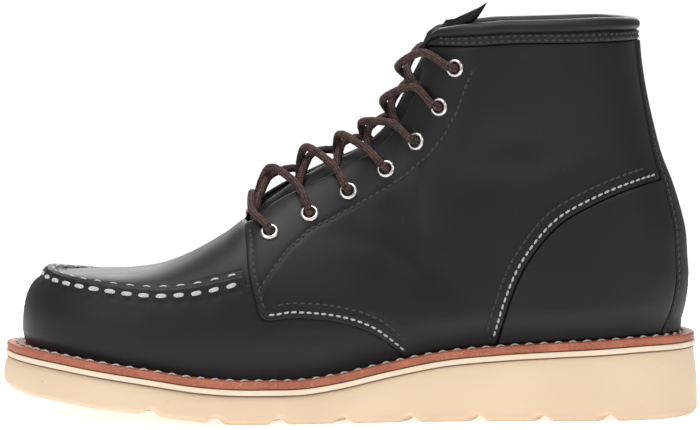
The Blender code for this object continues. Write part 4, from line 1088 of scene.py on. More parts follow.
quarter_line = smooth_edge(QUARTER_EDGE)
FORM_NORMALS = ring_normals(FORM)
form_x, form_y, form_z = np.moveaxis(FORM, 2, 0)
behind_quarter, _ = edge_reach(quarter_line, form_x, form_z)
past_throat = (form_x > place(0.345)).astype(float)
covered = ease((behind_quarter - 0.0008) / 0.0016) * past_throat
sink = HIDDEN_SINK * covered
turn_share = np.clip(FROM_TOE / FAN_COLUMNS, 0, 1)
crest_height = SEAM_RISE * (1 + TOE_CREST * (1 - ease(turn_share)))[:, None]
past_seam_end = ease((form_x - place(0.348)) / (place(0.357) - place(0.348)))
ridge_fade = (1 - past_seam_end) * (FROM_TOE <= FRONT + 4)[:, None]
seam_column = FORM[:, WALL_ROWS + BAND_ROWS // 2]
seam_steps = np.linalg.norm(np.diff(seam_column, axis=0, prepend=seam_column[:1]), axis=1)
seam_run = np.cumsum(np.where(FROM_TOE <= FRONT, seam_steps, 0.0))
pucker = np.cos(2 * math.pi * (seam_run - seam_run[FRONT]) / MOC_PITCH)[:, None]
wall_side = np.exp(-((np.minimum(REACH, 0) / CREST_WALL_SIDE) ** 2))
plug_side = np.exp(-((np.maximum(REACH - CREST_TOP, 0) / CREST_PLUG_SIDE) ** 2))
relief = crest_height * wall_side * plug_side
for at, half, rise, steady, puckered in MOC_RELIEF:
    relief += rise * (steady + puckered * pucker) * np.exp(-(((REACH - at) / half) ** 2))
relief *= ridge_fade
on_medial = form_y >= ridge_across(form_x)
fold = np.where(on_medial, crease_depth(form_x, form_z, MEDIAL), crease_depth(form_x, form_z, LATERAL))
wall_only = 1 - ease((REACH + 0.006) / 0.004)
folded = fold * wall_only * (1 - covered) * (FROM_TOE <= FRONT + 40)[:, None]
outer_form = close_ridge(FORM + FORM_NORMALS * (relief - sink - folded)[:, :, None])
inner_form = close_ridge(FORM - FORM_NORMALS * UPPER_WALL)
foot_rim = np.stack([outer_form[:, 0], inner_form[:, 0]], axis=1)
open_columns = np.arange(FRONT, COLUMNS - FRONT + 1)
top_rim = np.stack([outer_form[open_columns, -1], inner_form[open_columns, -1]], axis=1)


def leather_finish(name, colour, worn, roughness, grain_scale, grain_depth, pebble=0.0):
    """Leather: fine pores, a broad cloudiness in its gloss, and a few light scuffs."""
    made, tree, shader = new_finish(name, roughness, coat_roughness=0.35)
    shader.inputs["Specular IOR Level"].default_value = 0.26
    where = object_place(tree)
    cloud = noise_at(tree, where, 28.0, 3.0)
    pore_values = {"Vector": where, "Scale": grain_scale}
    pores = add_node(tree, "ShaderNodeTexVoronoi", pore_values, feature="SMOOTH_F1")
    wrinkle = noise_at(tree, where, 0.35 * grain_scale, 4.0)
    scuff = ramp(tree, noise_at(tree, where, 240.0, 6.0), [(0.70, (0, 0, 0)), (0.80, (1, 1, 1))])
    base = mix_colour(tree, cloud, colour, tuple(1.35 * c for c in colour))
    tint = mix_colour(tree, remap(tree, scuff, 0.0, 1.0, 0.0, 0.35), base, worn)
    rough = remap(tree, cloud, 0.3, 0.7, roughness - 0.05, roughness + 0.07)
    under = bump(tree, wrinkle, 1.4 * grain_depth, 0.5)
    over = bump(tree, pores.outputs["Distance"], -grain_depth, 0.55, under)
    if pebble:
        lump_values = {"Vector": where, "Scale": 420.0}
        lumps = add_node(tree, "ShaderNodeTexVoronoi", lump_values, feature="SMOOTH_F1")
        over = bump(tree, lumps.outputs["Distance"], -pebble, 0.8, over)
    join_look(tree, shader, colour=tint, roughness=rough, normal=over)
    return made


BLACK_DYE = (0.0085, 0.0085, 0.0092)
SCUFFED = (0.05, 0.05, 0.05)
FLESH = (0.115, 0.072, 0.045)
FLESH_WORN = (0.2, 0.14, 0.09)
smooth_black = leather_finish("smooth_black_leather", BLACK_DYE, SCUFFED, 0.46, 900.0, 0.00005)
flesh_side = leather_finish("lining_flesh_leather", FLESH, FLESH_WORN, 0.85, 700.0, 0.00008)
add_piece(
    "vamp_and_lining",
    [(outer_form, True, 0), (inner_form, True, 1), (foot_rim, True, 0), (top_rim, False, 0)],
    [smooth_black, flesh_side],
    ["upper"],
    sharp=60.0,
    merge=1e-5,
)


def seam_curve(reach):
    """A line on the ridge at a distance from the moc seam, medial quarter to lateral, and its normals."""
    row = WALL_ROWS + (reach / BAND_HALF + 1) / 2 * BAND_ROWS
    low = int(row)
    order = np.concatenate([np.arange(COLUMNS - FRONT + 1, COLUMNS), np.arange(0, FRONT)])
    normals = ring_normals(outer_form)
    points = outer_form[order, low] * (1 - row + low) + outer_form[order, low + 1] * (row - low)
    return points, normals[order, low]


# The second colour is painted shade in the thread's twist grooves.
moc_thread = thread_finish("moc_seam_thread", (0.60, 0.585, 0.57), (0.32, 0.305, 0.30))
for row_name, reach, length, width, slant, rise in MOC_ROWS:
    curve, out = seam_curve(reach)
    stitch_row("moc_stitches_" + row_name, curve, out, MOC_PITCH, length, width, moc_thread, slant, rise)


# Quarters: one on each side, of the same black leather, cut with a wing over the vamp and folded up
# into the facing. They are sewn down by two rows along the wing, the outer one in light thread, and
# by black rows along the front edge and round the facing.
QUARTER_THICKNESS = 0.0013
COUNTER_EDGE = [
    # along, level
    (0.990, 1.250),
    (0.954, 1.222),
    (0.912, 1.194),
    (0.876, 1.155),
    (0.846, 1.110),
    (0.798, 1.015),
    (0.763, 0.540),
    (0.741, 0.040),
    (0.725, -0.430),
    (0.711, -0.976),
    (0.703, -1.500),
]
BACKSTAY_EDGE = [
    # half width as a share of the ankle's, level
    (0.31, 2.100),
    (0.31, 1.896),
    (0.33, 1.640),
    (0.37, 1.420),
    (0.43, 1.254),
    (0.49, 1.100),
    (0.53, 0.860),
    (0.55, 0.400),
    (0.57, 0.000),
    (0.62, -0.500),
    (0.70, -1.050),
    (0.74, -1.500),
]
COLLAR_EDGE = [
    # along, level
    (0.560, 1.868),
    (0.615, 1.862),
    (0.666, 1.866),
    (0.720, 1.880),
    (0.820, 1.884),
    (0.909, 1.890),
    (1.000, 1.890),
]
FACING_STITCHES = [
    # world x and z in millimetres, from the collar down the facing to the quarter's front corner
    (49.7, 141.5),
    (47.0, 135.1),
    (43.7, 125.3),
    (38.7, 115.4),
    (31.8, 106.1),
    (23.2, 98.7),
    (14.7, 92.8),
    (4.2, 86.6),
    (-7.8, 80.3),
    (-16.4, 76.2),
    (-24.8, 68.8),
    (-32.0, 59.7),
    (-37.0, 52.6),
]
PANEL_EDGE = np.array([0.0, 0.00008, 0.0003, 0.0007, 0.0014, 0.0024])
CUT_ROUND = 0.0008
SEAM_TROUGH = 0.0010
SEAM_DEPTH = 0.00035
FINE_STITCH_PITCH = 0.0029
FINE_STITCH_LENGTH = 0.0025
FINE_STITCH_WIDTH = 0.00085
FINE_STITCH_SLANT = 0.08
FINE_STITCH_RISE = 0.45
FACING_START = 0.0006
WHITE_ROW_INSET = 0.0024
BLACK_ROW_INSET = 0.0058


def run_at(x, z, side):
    """How far round the shaft a place seen from the side is from the back seam, plus on the medial side."""
    back = back_seam(z)
    turned = HEEL_ROUND * np.arccos(np.clip(1 - (back - x) / HEEL_ROUND, 0.0, 1.0))
    return side * (turned + np.maximum(back - x - HEEL_ROUND, 0.0))


def unrolled(line, side):
    return np.column_stack([run_at(line[:, 0], line[:, 1], side), line[:, 1]])


def wrapped(run, z):
    """The closed form at a distance round from the back seam and a height.

    The back is a quarter turn of radius HEEL_ROUND in plan, then x runs straight forward. The half
    width is the shaft's, times the ridge's arch, times the sine of the turn; near the welt the
    surface settles on to the feather line.
    """
    side = np.where(run < 0, LATERAL, MEDIAL)
    reach = np.abs(run)
    turn = np.minimum(reach / HEEL_ROUND, math.pi / 2)
    x = back_seam(z) - HEEL_ROUND * (1 - np.cos(turn)) - np.maximum(reach - HEEL_ROUND * math.pi / 2, 0)
    half = widest(x, z, side) * ridge_share(x, z, side) * np.sin(turn) ** (2 / 2.1)
    y = ridge_across(x) + side * half
    at_feather = np.where(
        side < 0,
        np.interp(x, FEATHER[LATERAL][:, 0], FEATHER[LATERAL][:, 1]),
        np.interp(x, FEATHER[MEDIAL][:, 0], FEATHER[MEDIAL][:, 1]),
    )
    settle = ease((z - welt_top(x) - FIT) / SETTLE)
    return np.stack([x, at_feather + (y - at_feather) * settle, z], axis=-1)


def wrapped_normals(run, z):
    """Outward unit normals of the closed form, from its slopes both ways."""
    step = 0.0004
    along_run = wrapped(run + step, z) - wrapped(run - step, z)
    up = wrapped(run, z + step) - wrapped(run, z - step)
    normal = np.cross(along_run, up)
    middle = np.stack([np.full(run.shape, place(0.72)), np.zeros(run.shape), np.asarray(z)], axis=-1)
    outward = np.sum(normal * (wrapped(run, z) - middle), axis=-1)
    normal = normal * np.sign(outward.sum())
    return unit(normal)


def border_steps(count, length):
    """Shares from 0 to 1 with close steps near both ends, where a cut edge is rounded."""
    near = PANEL_EDGE / length
    middle = np.linspace(near[-1], 1 - near[-1], count)
    return np.concatenate([near[:-1], middle, 1 - near[:-1][::-1]])


def coons(front, rear, bottom, top, columns, rows):
    """A patch between four border lines: the two rulings added, less the bilinear patch of the corners.

    Front and rear run upwards, bottom and top run from front to rear. Returns run and z on a grid.
    """
    length = [np.linalg.norm(np.diff(line, axis=0), axis=1).sum() for line in (front, rear, bottom, top)]
    u = border_steps(columns, 0.5 * (length[2] + length[3]))
    v = border_steps(rows, 0.5 * (length[0] + length[1]))
    low = along_line(bottom, u)[:, None, :]
    high = along_line(top, u)[:, None, :]
    fore = along_line(front, v)[None, :, :]
    aft = along_line(rear, v)[None, :, :]
    u = u[:, None, None]
    v = v[None, :, None]
    corners = (1 - u) * ((1 - v) * low[:1] + v * high[:1]) + u * ((1 - v) * low[-1:] + v * high[-1:])
    return (1 - v) * low + v * high + (1 - u) * fore + u * aft - corners


def panel(name, flat, thickness, finish, node, seams, folds=0.0):
    """A leather panel on the form with a rounded cut edge, its seams pressed in and its folds sunk.

    Its rise is thickness times the root of 1 - (1 - d / r) squared, for a distance d from its own
    edge within r, less a Gaussian trough along each seam.
    """
    run, z = np.moveaxis(flat, 2, 0)
    border = np.concatenate([flat[0], flat[1:, -1], flat[-1, ::-1][1:], flat[::-1, 0][1:]])
    from_edge = np.abs(edge_reach(border, run, z)[0])
    rise = thickness * np.sqrt(1 - (1 - np.clip(from_edge / CUT_ROUND, 0, 1)) ** 2)
    for line in seams:
        off = edge_reach(line, run, z)[0]
        rise = rise - SEAM_DEPTH * np.exp(-((off / SEAM_TROUGH) ** 2)) * ease(from_edge / CUT_ROUND)
    base = wrapped(run, z)
    out = wrapped_normals(run, z)
    if folds:
        side = 1 if run.mean() > 0 else -1
        rise = rise - folds * crease_depth(base[:, :, 0], z, side) * ease(from_edge / 0.004)
    over = base + out * rise[:, :, None]
    add_piece(name, [(over, False, 0), (base, False, 0)], [finish], [node], sharp=70.0)


def sewn_line(line, thickness):
    """A seam's points and normals on the outer face of a panel, from its unrolled line."""
    fine = along_line(line, np.linspace(0, 1, 240))
    out = wrapped_normals(fine[:, 0], fine[:, 1])
    return wrapped(fine[:, 0], fine[:, 1]) + out * (thickness - 0.6 * SEAM_DEPTH), out


def sew(name, points, out, finish, slant=FINE_STITCH_SLANT):
    """A row of fine stitches along points on a panel's face."""
    sizes = (FINE_STITCH_PITCH, FINE_STITCH_LENGTH, FINE_STITCH_WIDTH)
    stitch_row(name, points, out, *sizes, finish, slant, FINE_STITCH_RISE)


def moved(line, distance):
    """A line moved sideways, to the left of its own direction."""
    tangent = unit(np.gradient(line, axis=0))
    return line + np.column_stack([-tangent[:, 1], tangent[:, 0]]) * distance


def stay_run(z):
    """Half width of the backstay, measured round the form, at a height."""
    table = [(float(height(level)), share * ANKLE_HALF_WIDTH) for share, level in BACKSTAY_EDGE][::-1]
    half = smooth_line(table, z)
    x = back_seam(z) - 0.003
    share = np.clip(half / widest(x, z, np.full(np.shape(z), LATERAL)), 0, 1)
    return HEEL_ROUND * np.arcsin(share ** 1.05)


def welt_floor(line):
    """The line cut off where it meets the welt."""
    return line[line[:, 1] > welt_top(line[:, 0]) + FIT]


collar_low = smooth_edge(COLLAR_EDGE)
counter_side = smooth_edge(COUNTER_EDGE, 12)[::-1]
stay_low = float(welt_top(place(0.97))) + FIT
stay_high = float(np.interp(place(0.93), collar_low[:, 0], collar_low[:, 1]))
stay_z = np.linspace(stay_low, stay_high, 90)
stay_edge = np.column_stack([stay_run(stay_z), stay_z])
# The second colour is painted shade in the thread's twist grooves.
black_thread = thread_finish("black_thread", (0.030, 0.029, 0.029), (0.008, 0.008, 0.008))
quarter_black = leather_finish("quarter_black_leather", BLACK_DYE, SCUFFED, 0.44, 900.0, 0.00005)
side_counter = {}
for side_name, side in SIDES.items():
    counter = unrolled(counter_side, side)
    past_stay = np.abs(counter[:, 0]) < stay_run(counter[:, 1])
    stop = int(np.argmax(past_stay)) if past_stay.any() else len(counter)
    meet_z = counter[stop, 1]
    counter = np.concatenate([counter[:stop], [[side * float(stay_run(meet_z)), meet_z]]])
    counter_x = wrapped(counter[:, 0], counter[:, 1])[:, 0]
    counter = counter[counter[:, 1] > welt_top(counter_x) + FIT]
    side_counter[side] = counter
    upper_stay = stay_edge[stay_edge[:, 1] > meet_z] * np.array([side, 1.0])
    rear = np.concatenate([counter, upper_stay])

    side_top = top_line(side)
    corner_z = float(np.interp(place(0.615), collar_low[:, 0], collar_low[:, 1]))
    facing_z = np.linspace(side_top[0, 1] + FACING_START, corner_z, 70)
    facing = np.column_stack([smooth_line(side_top[:12, ::-1], facing_z), facing_z])
    under_collar = collar_low[(collar_low[:, 0] > facing[-1, 0] + 0.001) & (collar_low[:, 0] < place(0.93))]
    top_edge = np.concatenate([facing, under_collar])
    top_flat = unrolled(top_edge, side)
    top_flat = top_flat[np.abs(top_flat[:, 0]) > abs(upper_stay[-1, 0]) + 0.0005]
    top_flat = np.concatenate([top_flat, upper_stay[-1:]])

    edge = quarter_line[quarter_line[:, 1] < facing[0, 1] - 0.001]
    edge = np.concatenate([facing[:1], edge])
    corner = int(np.argmin(np.abs(edge[:, 0] - place(0.376))))
    front = unrolled(edge[: corner + 1], side)[::-1]
    wing = welt_floor(edge[corner:])
    rear_x = float(wrapped(counter[:1, 0], counter[:1, 1])[0, 0])
    feather_x = np.linspace(wing[-1, 0] + 0.002, rear_x - 0.001, 30)
    feather_line = np.column_stack([feather_x, welt_top(feather_x) + FIT])
    bottom = np.concatenate([unrolled(np.concatenate([wing, feather_line]), side), counter[:1]])

    wing_white = moved(unrolled(wing, side), -side * WHITE_ROW_INSET)[1:-2]
    wing_black = moved(unrolled(wing, side), -side * BLACK_ROW_INSET)[4:-5]
    front_black = moved(front[::-1], -side * WHITE_ROW_INSET)[3:-3]
    facing_mm = np.array(FACING_STITCHES) * 0.001
    if side == MEDIAL:
        facing_mm[:, 1] += facing_rise(facing_mm[:, 0])
    facing_black = unrolled(facing_mm, side)
    flat = coons(front, rear, bottom, top_flat, 150, 110)
    panel(
        "quarter_panel_" + side_name,
        flat,
        FIT + QUARTER_THICKNESS,
        quarter_black,
        "quarter_" + side_name,
        [wing_white, wing_black, front_black, facing_black],
        1.0,
    )
    for row_name, line, finish in (
        ("wing_light", wing_white, light_thread),
        ("wing_black", wing_black, black_thread),
        ("front_black", front_black, black_thread),
        ("facing_black", facing_black, black_thread),
    ):
        points, out = sewn_line(line, FIT + QUARTER_THICKNESS)
        sew("stitches_%s_%s" % (row_name, side_name), points, out, finish)


# Counters: a stiffened leather piece on each side of the heel, lapped over the quarter, with a light
# row along its curved edge and a black row inside it.
COUNTER_THICKNESS = 0.0019
for side_name, side in SIDES.items():
    counter = side_counter[side]
    side_x = wrapped(counter[:, 0], counter[:, 1])[:, 0]
    knee = int(np.argmin(np.abs(side_x - place(0.798))))
    front = counter[: knee + 1]
    top = counter[knee:]
    rear = stay_edge[stay_edge[:, 1] < counter[-1, 1] - 0.0005] * np.array([side, 1.0])
    rear = np.concatenate([rear, counter[-1:]])
    foot_run = np.linspace(front[0, 0], rear[0, 0], 40)
    foot_x = wrapped(foot_run, np.full(40, front[0, 1]))[:, 0]
    bottom = np.column_stack([foot_run, welt_top(foot_x) + FIT])
    bottom[0] = front[0]
    bottom[-1] = rear[0]
    light_row = moved(counter, -side * WHITE_ROW_INSET)[3:-3]
    dark_row = moved(counter, -side * BLACK_ROW_INSET)[5:-6]
    panel(
        "counter_panel_" + side_name,
        coons(front, rear, bottom, top, 70, 80),
        FIT + COUNTER_THICKNESS,
        smooth_black,
        "counter_" + side_name,
        [light_row, dark_row],
    )
    counter_rows = (("counter_light", light_row, light_thread), ("counter_black", dark_row, black_thread))
    for row_name, line, finish in counter_rows:
        points, out = sewn_line(line, FIT + COUNTER_THICKNESS)
        sew("stitches_%s_%s" % (row_name, side_name), points, out, finish)


# Backstay: a strip of coarser, duller grained leather down the back seam, wide at the heel and
# narrow at the collar, sewn on with a black row along each side.
BACKSTAY_THICKNESS = 0.0022
STAY_ROW_INSET = 0.0018
STAY_DYE = (0.010, 0.010, 0.0105)
pebbled_black = leather_finish("pebbled_backstay_leather", STAY_DYE, SCUFFED, 0.60, 700.0, 0.00008, 0.0002)
stay_left = stay_edge * np.array([-1.0, 1.0])
stay_foot, stay_head = [
    np.column_stack([np.linspace(-half, half, 30), np.full(30, z)]) for half, z in stay_edge[[0, -1]]
]
stay_rows = [moved(stay_edge, STAY_ROW_INSET), moved(stay_left, -STAY_ROW_INSET)]
panel(
    "backstay_strip",
    coons(stay_left, stay_edge, stay_foot, stay_head, 44, 150),
    FIT + BACKSTAY_THICKNESS,
    pebbled_black,
    "backstay",
    stay_rows,
)
for side_name, line in zip(("medial", "lateral"), stay_rows):
    points, out = sewn_line(line, FIT + BACKSTAY_THICKNESS)
    sew("stitches_backstay_" + side_name, points, out, black_thread, 0.0)


# Collar band: a soft strip round the top, sewn on in black and turned over the top edge as a roll
# that runs down inside.
COLLAR_THICKNESS = 0.0018
COLLAR_FRONT = (0.6118, 1.83)
COLLAR_LEAST = 0.0012
COLLAR_FULL = 0.0088
COLLAR_ROWS = (("low", 0.0012), ("roll", 0.0030))
COLLAR_ROW_ROOM = 0.0068
COLLAR_PROFILE = [
    # measured from the lower edge (0) or the top edge (1), rise from there, out from the form
    (0, 0.0000, 0.0003),
    (0, 0.0000, 0.0012),
    (0, 0.0003, 0.0018),
    (0, 0.0009, 0.0021),
    (0, 0.0018, 0.0020),
    (0, 0.0032, 0.0022),
    (1, -0.0056, 0.0021),
    (1, -0.0050, 0.0019),
    (1, -0.0046, 0.0014),
    (1, -0.0042, 0.0018),
    (1, -0.0036, 0.0025),
    (1, -0.0024, 0.0029),
    (1, -0.0012, 0.0027),
    (1, -0.0002, 0.0019),
    (1, 0.0006, 0.0006),
    (1, 0.0008, -0.0010),
    (1, 0.0003, -0.0024),
    (1, -0.0012, -0.0033),
    (1, -0.0030, -0.0033),
    (1, -0.0048, -0.0028),
    (1, -0.0060, -0.0024),
    (1, -0.0080, -0.0022),
    (1, -0.0080, -0.0020),
    (1, -0.0008, -0.0020),
    (1, 0.0000, -0.0010),
    (1, 0.0000, 0.0001),
    (1, -0.0010, 0.0003),
]
collar_run = {}
collar_top = {}
for side in (LATERAL, MEDIAL):
    side_top = top_line(side)
    above = side_top[:, 0] > place(0.6115)
    first = [float(place(COLLAR_FRONT[0])), float(height(COLLAR_FRONT[1]))]
    line = np.concatenate([[first], side_top[above]])
    flat = unrolled(along_line(line, np.linspace(0, 1, 120)), side)
    collar_run[side] = flat[:, 0]
    collar_top[side] = flat[:, 1]
band_run = np.concatenate([collar_run[LATERAL], collar_run[MEDIAL][-2::-1]])
band_top = np.concatenate([collar_top[LATERAL], collar_top[MEDIAL][-2::-1]])
band_x = wrapped(band_run, band_top)[:, 0]
band_low = np.interp(band_x, collar_low[:, 0], collar_low[:, 1])
band_low = np.minimum(band_low, band_top - COLLAR_LEAST)
profile = np.array(COLLAR_PROFILE)
squeeze = np.clip((band_top - band_low)[:, None] / COLLAR_FULL, 0.08, 1.0)
measured_from = np.where(profile[:, 0] == 1, band_top[:, None], band_low[:, None])
band_rise = measured_from + profile[:, 1] * squeeze
band_out = profile[None, :, 2] * np.ones_like(band_rise)
run_grid = np.repeat(band_run[:, None], len(profile), axis=1)
read_z = np.minimum(band_rise, band_top[:, None])
band = wrapped(run_grid, read_z)
band_normals = wrapped_normals(run_grid, read_z)
band = band + band_normals * band_out[:, :, None]
band[:, :, 2] += band_rise - read_z
band = np.concatenate([band, band[:, :1]], axis=1)
ends = [np.stack([band[k], np.broadcast_to(band[k].mean(axis=0), band[k].shape)], axis=0) for k in (0, -1)]
COLLAR_DYE = (0.009, 0.009, 0.0095)
collar_soft = leather_finish("collar_roll_leather", COLLAR_DYE, SCUFFED, 0.50, 800.0, 0.00007)
add_piece(
    "collar_roll",
    [(band, False, 0), (ends[0], False, 0), (ends[1], False, 0)],
    [collar_soft],
    ["collar_band"],
    sharp=60.0,
)
for row_name, rise in COLLAR_ROWS:
    row_z = np.minimum(band_low + rise, band_top - 0.002)
    keep = (band_top - band_low) > COLLAR_ROW_ROOM
    out = wrapped_normals(band_run[keep], row_z[keep])
    points = wrapped(band_run[keep], row_z[keep]) + out * (FIT + COLLAR_THICKNESS - 0.0001)
    sew("stitches_collar_" + row_name, points, out, black_thread, 0.0)


# Tongue: a bent leaf of softer, duller leather under the facings, sewn to the vamp at its foot. Its
# cut top edge is raw, and its outer corner stands above the collar as a bent triangle.
TONGUE_THICKNESS = 0.0024
TONGUE_HALF_WIDTH = 0.027
TONGUE_CLEARANCE = 0.0020
TONGUE_FOOT = 0.325
TONGUE_TOP = [
    # across, level
    (-1.0, 2.12),
    (-0.75, 2.04),
    (-0.4, 1.93),
    (0.0, 1.90),
    (0.5, 1.92),
    (1.0, 1.95),
]
TONGUE_CROWN = 0.0052
TONGUE_CROWN_HALF = 0.62
TONGUE_RIPPLE = 0.0005
TONGUE_EDGE_ROUND = 0.001
TONGUE_STEP = 0.002
TONGUE_DEEPEST = 0.034
TONGUE_COLUMNS = 60
TONGUE_ROWS = 110
tongue_across = np.linspace(-1, 1, TONGUE_COLUMNS)
rise_share = np.linspace(0, 1, TONGUE_ROWS)
ridge_x = place(np.linspace(TONGUE_FOOT, 0.66, 300))
ridge_z = ridge_height(ridge_x, LATERAL)
foot_z = ridge_z[0]
top_level = np.interp(tongue_across, [row[0] for row in TONGUE_TOP], [row[1] for row in TONGUE_TOP])
ragged = 0.0003 * np.sin(tongue_across * 23) + 0.0002 * np.sin(tongue_across * 51 + 1.3)
top_z = height(top_level) + ragged
level_z = foot_z + (top_z - foot_z)[:, None] * rise_share[None, :]
level_x = np.interp(level_z, ridge_z, ridge_x)
ahead_x = np.interp(level_z + TONGUE_STEP, ridge_z, ridge_x) - level_x
ahead_length = np.hypot(ahead_x, TONGUE_STEP)
in_x = TONGUE_STEP / ahead_length
in_z = -ahead_x / ahead_length
depths = np.linspace(0, TONGUE_DEEPEST, 140)
deep_x = level_x[:, :, None] + in_x[:, :, None] * depths
deep_z = level_z[:, :, None] + in_z[:, :, None] * depths
halves = shell_half_width(deep_x, np.minimum(deep_z, SHAFT_HEIGHT), LATERAL)
halves = np.maximum.accumulate(halves, axis=2)
arc_steps = np.hypot(np.diff(depths), np.diff(halves, axis=2))
arc = np.concatenate([np.zeros(halves.shape[:2] + (1,)), np.cumsum(arc_steps, axis=2)], axis=2)
target = np.abs(tongue_across)[:, None, None] * TONGUE_HALF_WIDTH
below = np.clip((arc <= target).sum(axis=2) - 1, 0, len(depths) - 2)[:, :, None]
arc_low = np.take_along_axis(arc, below, axis=2)
arc_high = np.take_along_axis(arc, below + 1, axis=2)
part = ((target - arc_low) / np.maximum(arc_high - arc_low, 1e-9))[:, :, 0]
depth = (below[:, :, 0] + part) * depths[1]
half_low = np.take_along_axis(halves, below, axis=2)[:, :, 0]
half_high = np.take_along_axis(halves, below + 1, axis=2)[:, :, 0]
leaf_x = level_x + in_x * depth
leaf_z = level_z + in_z * depth
leaf_side = np.where(tongue_across < 0, LATERAL, MEDIAL)[:, None]
leaf_half = half_low + (half_high - half_low) * part
leaf = np.dstack([leaf_x, ridge_across(leaf_x) + leaf_side * leaf_half, leaf_z])
leaf_out = unit(np.cross(np.gradient(leaf, axis=1), np.gradient(leaf, axis=0)))
leaf_out *= 1 if leaf_out[len(leaf) // 2, TONGUE_ROWS // 2, 0] < 0 else -1
for _ in range(10):
    held = np.pad(leaf_out, ((1, 1), (1, 1), (0, 0)), mode="edge")
    leaf_out = unit(held[:-2, 1:-1] + held[2:, 1:-1] + held[1:-1, :-2] + held[1:-1, 2:])
from_side = (1 - np.abs(tongue_across))[:, None] * TONGUE_HALF_WIDTH
from_top = (1 - rise_share)[None, :] * (top_z - foot_z)[:, None] * 1.6
edge_gap = np.minimum(np.minimum(from_side, from_top), TONGUE_EDGE_ROUND)
round_off = 1 - np.sqrt(1 - (1 - edge_gap / TONGUE_EDGE_ROUND) ** 2)
leaf_u = tongue_across[:, None]
ripple = TONGUE_RIPPLE * np.sin(leaf_z * 210 + 2.0 * leaf_u) * (1 - leaf_u ** 2)
outer_depth = UPPER_WALL + TONGUE_CLEARANCE + 0.5 * TONGUE_THICKNESS * round_off - ripple * (from_top > 0.004)
inner_depth = UPPER_WALL + TONGUE_CLEARANCE + TONGUE_THICKNESS * (1 - 0.5 * round_off)
crown = TONGUE_CROWN * np.clip(1 - (leaf_u / TONGUE_CROWN_HALF) ** 2, 0, 1) ** 1.5
crown = crown * ease(rise_share / 0.12)[None, :] * (1 - 0.6 * ease((rise_share - 0.8) / 0.2))[None, :]
leaf_outer = leaf - leaf_out * (outer_depth - crown)[:, :, None]
leaf_inner = leaf - leaf_out * (inner_depth - crown)[:, :, None]
borders = (0, -1, (slice(None), 0), (slice(None), -1))
edges = [np.stack([leaf_outer[border], leaf_inner[border]], axis=1) for border in borders]
TONGUE_DYE = (0.0085, 0.0083, 0.0085)
TONGUE_WORN = (0.06, 0.055, 0.05)
dull_black = leather_finish("dull_tongue_leather", TONGUE_DYE, TONGUE_WORN, 0.58, 700.0, 0.0001)
add_piece(
    "tongue_leaf",
    [(leaf_outer, False, 0), (leaf_inner, False, 0)] + [(edge, False, 0) for edge in edges],
    [dull_black],
    ["tongue"],
    sharp=60.0,
)


# Eyelets: seven rolled nickel rings on each facing, set through the leather, with a bare barrel going down
# into the hole, which is closed by a near-black disc of painted shade.
EYELETS = [
    # along, level
    (0.387, 0.840),
    (0.443, 1.048),
    (0.499, 1.154),
    (0.553, 1.264),
    (0.597, 1.402),
    (0.629, 1.572),
    (0.651, 1.760),
]
EYELET_RADIUS = 0.00375
EYELET_HOLE = 0.0021
EYELET_RISE = 0.0011
EYELET_TURNS = 40
HOLE_RISE = 0.0003
eyelet_base = FIT + QUARTER_THICKNESS
nickel, tree, shader = new_finish("brushed_nickel", 0.3, metallic=1.0)
where = object_place(tree)
cloud = noise_at(tree, where, 500.0, 4.0)
join_look(
    tree,
    shader,
    colour=ramp(tree, cloud, [(0.3, (0.62, 0.58, 0.55)), (0.7, (0.80, 0.76, 0.73))]),
    roughness=remap(tree, cloud, 0.3, 0.7, 0.24, 0.42),
    normal=bump(tree, noise_at(tree, where, 2600.0), 0.00003, 0.4),
)
# Painted shade: a near-black matte disc put across each eyelet's hole to stand in for its dark inside.
painted_hole_shade, tree, shader = new_finish("eyelet_hole_black", 0.9)
shade = noise_at(tree, object_place(tree), 900.0)
hole_shade_colour = ramp(tree, shade, [(0.3, (0.004, 0.004, 0.004)), (0.7, (0.008, 0.007, 0.007))])
join_look(tree, shader, colour=hole_shade_colour)


def eyelet_place(row, side):
    """Point on the form and outward normal at an eyelet."""
    x = np.array([float(place(row[0]))])
    z = np.array([float(height(row[1]))])
    if side == MEDIAL:
        z = z + facing_rise(x)
    run = run_at(x, z, side)
    return wrapped(run, z)[0], wrapped_normals(run, z)[0]


roll_turn = np.linspace(0, math.pi, 9)
roll_middle = 0.5 * (EYELET_RADIUS + EYELET_HOLE)
roll_half = 0.5 * (EYELET_RADIUS - EYELET_HOLE)
roll_radius = roll_middle + roll_half * np.cos(roll_turn)
ring_radius = np.concatenate([[EYELET_RADIUS - 0.0001], roll_radius, [EYELET_HOLE, EYELET_HOLE - 0.0001]])
ring_up = np.concatenate([[-0.0004], 0.0001 + EYELET_RISE * np.sin(roll_turn), [-0.0002, -0.0004]])
turns = np.arange(EYELET_TURNS) * 2 * math.pi / EYELET_TURNS
for side_name, side in SIDES.items():
    for number, row in enumerate(EYELETS, 1):
        centre, out = eyelet_place(row, side)
        first = unit(np.cross(out, [0.0, 0.0, 1.0]))
        second = np.cross(out, first)
        spoke = np.cos(turns)[:, None] * first + np.sin(turns)[:, None] * second
        ring = centre + out * eyelet_base + spoke[:, None, :] * ring_radius[None, :, None]
        ring = ring + out * ring_up[None, :, None]
        ring = np.concatenate([ring, ring[:, :1]], axis=1)
        name = "eyelet_%s_%d" % (side_name, number)
        add_piece("ring_" + name, [(ring, True, 0)], [nickel], [name])
        # The disc of painted shade across the hole, with a thin rim under it.
        hole_edge = ring[:, -2] + out * HOLE_RISE
        disc = np.stack([hole_edge, np.broadcast_to(hole_edge.mean(axis=0), hole_edge.shape)], axis=1)
        under = disc - out * HOLE_RISE
        rim = np.stack([disc[:, 0], under[:, 0]], axis=1)
        hole_grids = [(disc, True, 0), (under, True, 0), (rim, True, 0)]
        add_piece("hole_" + name, hole_grids, [painted_hole_shade])


